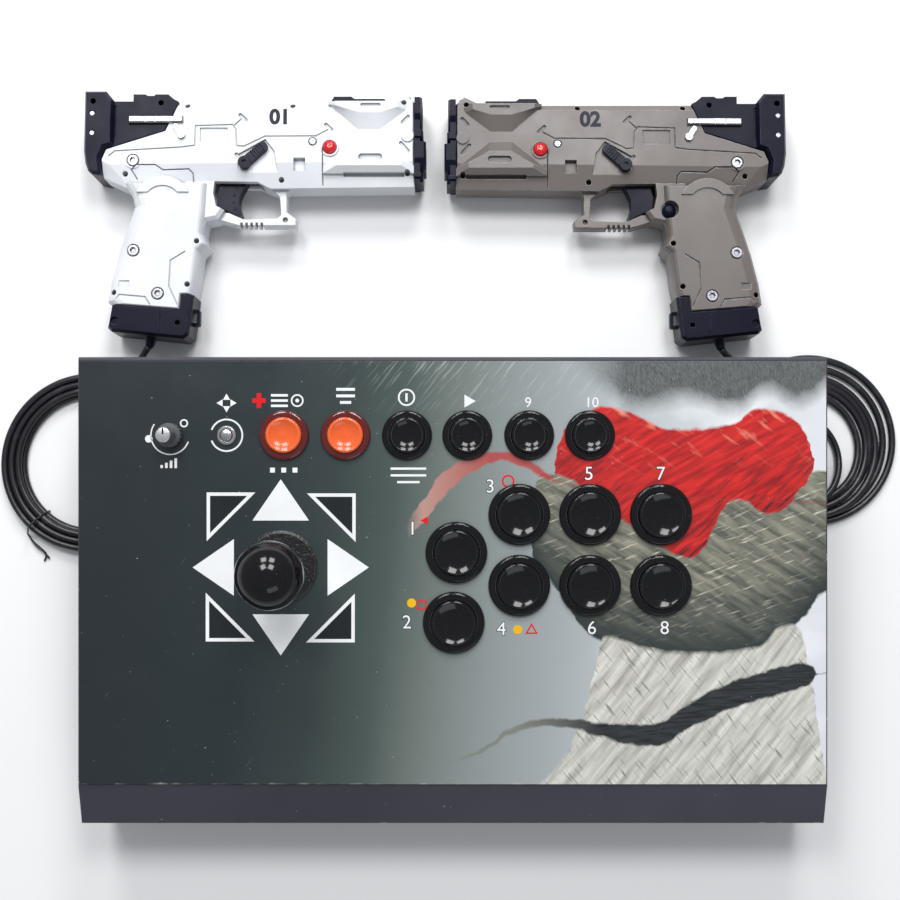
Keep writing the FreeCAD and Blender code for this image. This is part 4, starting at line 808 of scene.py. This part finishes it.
def disc(x, y, radius, corners=40):
    sweep = [2 * math.pi * k / corners for k in range(corners)]
    return [(x + radius * math.cos(a), y + radius * math.sin(a)) for a in sweep]


def bar(x, y, width, height):
    return [(x - width / 2, y - height / 2), (x + width / 2, y - height / 2), (x + width / 2, y + height / 2),
            (x - width / 2, y + height / 2)]


def wedge(x, y, size, turn=0.0):
    """A triangle that points up, or where it is turned to."""
    corners = (0, math.tau / 3, -math.tau / 3)
    return [(x + size * math.sin(a + turn), y + size * math.cos(a + turn)) for a in corners]


# %% [markdown]
# Four arrows and four corner marks frame the stick. They share one centre, the stick's own, so
# each is drawn once and turned in quarter turns.

# %% Arrows and corners round the stick
STICK = (-91.8, 116.5)
arrows, corner_rims, corner_fills = [], [], []
for quarter in range(4):
    turn = quarter * math.pi / 2

    def spot(x, y, turn=turn):
        return (STICK[0] + x * math.cos(turn) - y * math.sin(turn),
                STICK[1] + x * math.sin(turn) + y * math.cos(turn))

    arrows.append([spot(0, 47), spot(-15.1, 25), spot(15.1, 25)])
    corner_rims.append([spot(40, 39.5), spot(14, 39.5), spot(40, 13.5)])
    corner_rims.append([spot(38.2, 37.7), spot(38.2, 17.85), spot(18.35, 37.7)])
    corner_fills.append([spot(39.4, 38.9), spot(15.4, 38.9), spot(39.4, 14.9)])
printed("stick_arrows", arrows, WHITE_INK)
printed("stick_corner_fills", corner_fills, GREY_INK)
printed("stick_corner_rims", corner_rims, WHITE_INK, layer=1)
print(len(arrows), "arrows and", len(corner_fills), "corners")

# %% [markdown]
# Each of the eight play buttons gets a plain number, white with a dark rim so that it reads on
# any part of the picture. The service buttons get simple signs: a cross and a target for the
# mode, a stack of bars, a coin, a start wedge, and a rising set of bars under the volume knob.

# %% Numbers beside the buttons
NUMBERS = {"1": (-21.5, 137.0), "2": (-24.5, 87.0), "3": (20.0, 159.5), "4": (26.0, 83.5), "5": (72.6, 166.3),
           "6": (74.2, 84.0), "7": (110.9, 166.3), "8": (113.0, 84.0)}
for text, (x, y) in NUMBERS.items():
    spot_on_panel = PANEL @ Matrix.Translation((x, y, SKIN))
    numeral(f"number_{text}_rim", text, 7.0, GREY_INK, spot_on_panel, "desk", swell=0.32)
    numeral(f"number_{text}", text, 7.0, WHITE_INK, spot_on_panel, "desk", layer=1)
for text, (x, y) in {"9": (40.2, 204.3), "10": (74.2, 204.3)}.items():
    numeral(f"number_{text}", text, 5.2, WHITE_INK, PANEL @ Matrix.Translation((x, y, SKIN)), "desk")

# %% Signs beside the buttons
printed("red_signs", [bar(-103.4, 205.5, 7.2, 2.4), bar(-103.4, 208.1, 2.4, 2.7),
                      bar(-103.4, 202.9, 2.4, 2.7), wedge(-14.6, 141.5, 2.6, 0.5), disc(29.5, 162.5, 3.4),
                      disc(29.5, 162.5, 2.5),
                      bar(-16.5, 96.5, 5.0, 5.0), bar(-16.5, 96.5, 3.6, 3.6),
                      wedge(42.0, 83.0, 3.9), wedge(42.0, 83.0, 2.4)], RED_INK)
printed("yellow_signs", [disc(-22.0, 97.5, 2.4), disc(34.6, 83.3, 2.4)], YELLOW_INK)
printed("white_signs", [
    disc(-83.0, 205.5, 3.4), disc(-83.0, 205.5, 2.6), disc(-83.0, 205.5, 1.0),
    bar(-92.5, 208.3, 9.0, 1.3), bar(-92.5, 205.5, 9.0, 1.3), bar(-92.5, 202.7, 9.0, 1.3),
    bar(-57.2, 211.5, 10.0, 1.5), bar(-57.2, 208.0, 10.0, 1.5), bar(-57.2, 204.5, 6.0, 1.5),
    bar(-96.2, 168.4, 2.6, 2.6), bar(-90.2, 168.4, 2.6, 2.6), bar(-84.2, 168.4, 2.6, 2.6),
    disc(-24.7, 207.2, 4.6), disc(-24.7, 207.2, 3.7), bar(-24.7, 207.2, 1.2, 4.4),
    wedge(8.2, 205.2, 4.0, math.pi / 2),
    bar(-23.7, 169.2, 19.0, 1.2), bar(-23.7, 165.6, 19.0, 1.2), bar(-23.7, 162.0, 12.0, 1.2),
    wedge(-120.7, 207.0, 2.2), wedge(-120.7, 201.4, 2.2, math.pi), wedge(-123.9, 204.2, 2.2, -math.pi / 2),
    wedge(-117.5, 204.2, 2.2, math.pi / 2),
    disc(-162.2, 185.1, 2.0), disc(-143.4, 193.4, 2.2), disc(-143.4, 193.4, 1.4),
    bar(-155.3, 170.3, 1.4, 1.6), bar(-152.8, 170.9, 1.4, 2.8), bar(-150.3, 171.5, 1.4, 4.0),
    bar(-147.8, 172.1, 1.4, 5.2),
], WHITE_INK)


def open_ring(x, y, outer, inner, start, end, corners=36):
    """A ring with a gap, as one closed outline."""
    sweep = [start + (end - start) * k / corners for k in range(corners + 1)]
    rim = [(x + outer * math.cos(a), y + outer * math.sin(a)) for a in sweep]
    return rim + [(x + inner * math.cos(a), y + inner * math.sin(a)) for a in reversed(sweep)]


printed("control_rings", [
    open_ring(-120.7, 187.0, 8.9, 8.0, math.radians(-160), math.radians(160)),
    open_ring(-150.8, 187.0, 10.6, 9.9, math.radians(-215), math.radians(-20)),
], WHITE_INK)
print("signs printed")

# %% [markdown]
# The volume knob has a bright cap with a dark pointer line. It is pressed onto the knob, so it
# turns with it. The cap is a turned shape: half of its outline, swept round by a Screw modifier.

# %% Turned trims
def turned(name, profile, place, finish, body, steps=40):
    """Sweep an outline of (radius, height), listed from top to bottom, round its own upright."""
    mesh = bpy.data.meshes.new(name + "_outline")
    mesh.from_pydata([(r, 0.0, z) for r, z in profile], [(i, i + 1) for i in range(len(profile) - 1)], [])
    holder = bpy.data.objects.new(name + "_outline", mesh)
    bpy.context.scene.collection.objects.link(holder)
    sweep = holder.modifiers.new("round", "SCREW")
    sweep.steps = sweep.render_steps = steps
    sweep.use_merge_vertices = True
    sweep.merge_threshold = 0.0001
    bpy.context.view_layer.update()
    solid = bpy.data.meshes.new_from_object(holder.evaluated_get(bpy.context.evaluated_depsgraph_get()))
    bpy.data.objects.remove(holder)
    shape = bmesh.new()
    shape.from_mesh(solid)
    bmesh.ops.remove_doubles(shape, verts=shape.verts, dist=0.001)
    bmesh.ops.recalc_face_normals(shape, faces=shape.faces)
    shape.transform(place)
    for face in shape.faces:
        face.smooth = True
    shape.to_mesh(solid)
    shape.free()
    solid.materials.clear()
    solid.materials.append(finish)
    piece = bpy.data.objects.new(name, solid)
    bpy.context.scene.collection.objects.link(piece)
    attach(piece, body)
    return piece


KNOB = (-150.8, 187.0)
KNOB_RISE = 16.6          # top of the knob above the printed film
knob_low, knob_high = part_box("volume_knob")
knob_top = (PANEL.inverted() @ Vector(((knob_low.x + knob_high.x) / 2, (knob_low.y + knob_high.y) / 2,
                                       knob_high.z))).z
KNOB_TOP = PANEL @ Matrix.Translation((*KNOB, SKIN + KNOB_RISE))
turned("knob_cap", [(0, 0.5), (3.3, 0.5), (3.8, 0.35), (4.0, 0.0), (4.0, -0.3), (0, -0.3)], KNOB_TOP,
       plated("bright_knob_cap", (0.86, 0.86, 0.88), 0.3), "volume_knob")
printed("knob_pointer", [bar(0.0, 2.0, 0.9, 3.4)], NAVY_INK, place=KNOB_TOP, face=0.5, body="volume_knob")
print("knob top above the panel:", round(knob_top, 2), "mm")

# %% [markdown]
# Two glass lenses close the barrels: a wide one in front of the sensor and a small one in front
# of the muzzle lamp. Each is a shallow dome, sunk into its open barrel, so the metal rim stands
# proud and shades it.

# %% Lenses in the muzzles
# The third colour of each lens is its painted edge highlight.
LENS_GLASS = glossy("smoked_lens_glass", (0.02, 0.022, 0.03), 0.05, (0.05, 0.06, 0.09), Coat_Weight=1.0)
LAMP_GLASS = glossy("red_lamp_lens", (0.35, 0.012, 0.014), 0.08, (0.6, 0.1, 0.1), Coat_Weight=1.0)
TO_MUZZLE = Matrix.Rotation(math.pi / 2, 4, "Y")
for gun, place in GUNS.items():
    turned(f"{gun}_sensor_lens", [(0, 1.5), (2.4, 1.3), (4.4, 0.7), (5.7, -0.1), (5.7, -0.5), (0, -0.5)],
           place @ Matrix.Translation((193.5, 134.2, 0)) @ TO_MUZZLE, LENS_GLASS, gun)
    turned(f"{gun}_lamp_lens", [(0, 1.2), (1.8, 1.0), (3.3, 0.5), (4.2, -0.1), (4.2, -0.4), (0, -0.4)],
           place @ Matrix.Translation((194.9, 108.6, 0)) @ TO_MUZZLE, LAMP_GLASS, gun)

# %% Player numbers on the guns
PLAYER_MARK = (114.5, 130.5)
for gun, text in (("gun_left", "01"), ("gun_right", "02")):
    for side in ("near", "far"):
        turn = 0.0 if (gun == "gun_left") == (side == "near") else math.pi
        mark_place = (GUNS[gun] @ Matrix.Translation((*PLAYER_MARK, 0)) @ Matrix.Rotation(turn, 4, "Y")
                      @ Matrix.Translation((0, 0, SIDE_W)))
        numeral(f"{gun}_number_{side}", text, 8.4, NAVY_INK, mark_place, gun, swell=0.5)
print("numbers on both sides of both guns")

# %% [markdown]
# The left coil is held by a plastic coated twist tie. It goes over the bundle and down both sides
# of it, and its twisted tail ends in two short legs.

# %% Twist tie on the left coil
TIE_ANGLE = math.radians(-131.4)
TIE_SHAPE = [(38.0, 0.7), (38.1, 3.4), (40.4, 7.4), (44.3, 9.6), (46.8, 11.8), (49.0, 12.3), (51.4, 11.5),
             (53.6, 7.4), (55.9, 3.4), (56.3, 1.2)]
over_coil = [(LEFT_CENTRE[0] + r * math.cos(TIE_ANGLE), LEFT_CENTRE[1] + r * math.sin(TIE_ANGLE), z)
             for r, z in TIE_SHAPE]
TIE_LEGS = {
    "loop": over_coil + [(-246.8, 129.6, 1.2), (-243.0, 126.6, 1.2), (-239.4, 123.5, 1.6),
                         (-238.2, 121.2, 1.4), (-239.9, 118.3, 0.8)],
    "leg": [(-247.4, 130.6, 1.6), (-244.2, 126.4, 2.3), (-240.6, 124.6, 2.4), (-238.4, 121.6, 2.0),
            (-236.8, 119.9, 1.0)],
}
TIE_PLASTIC = moulded("black_tie_plastic", (0.012, 0.012, 0.016), 0.35)
for part_name, route in TIE_LEGS.items():
    tie, tie_length = swept_tube(f"twist_tie_{part_name}", smooth_line("tie_route", route), 0.55 * MM, 8)
    tie.data.materials.append(TIE_PLASTIC)
    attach(tie, "desk")
    print(f"tie {part_name}: {tie_length * 1000:.0f} mm")
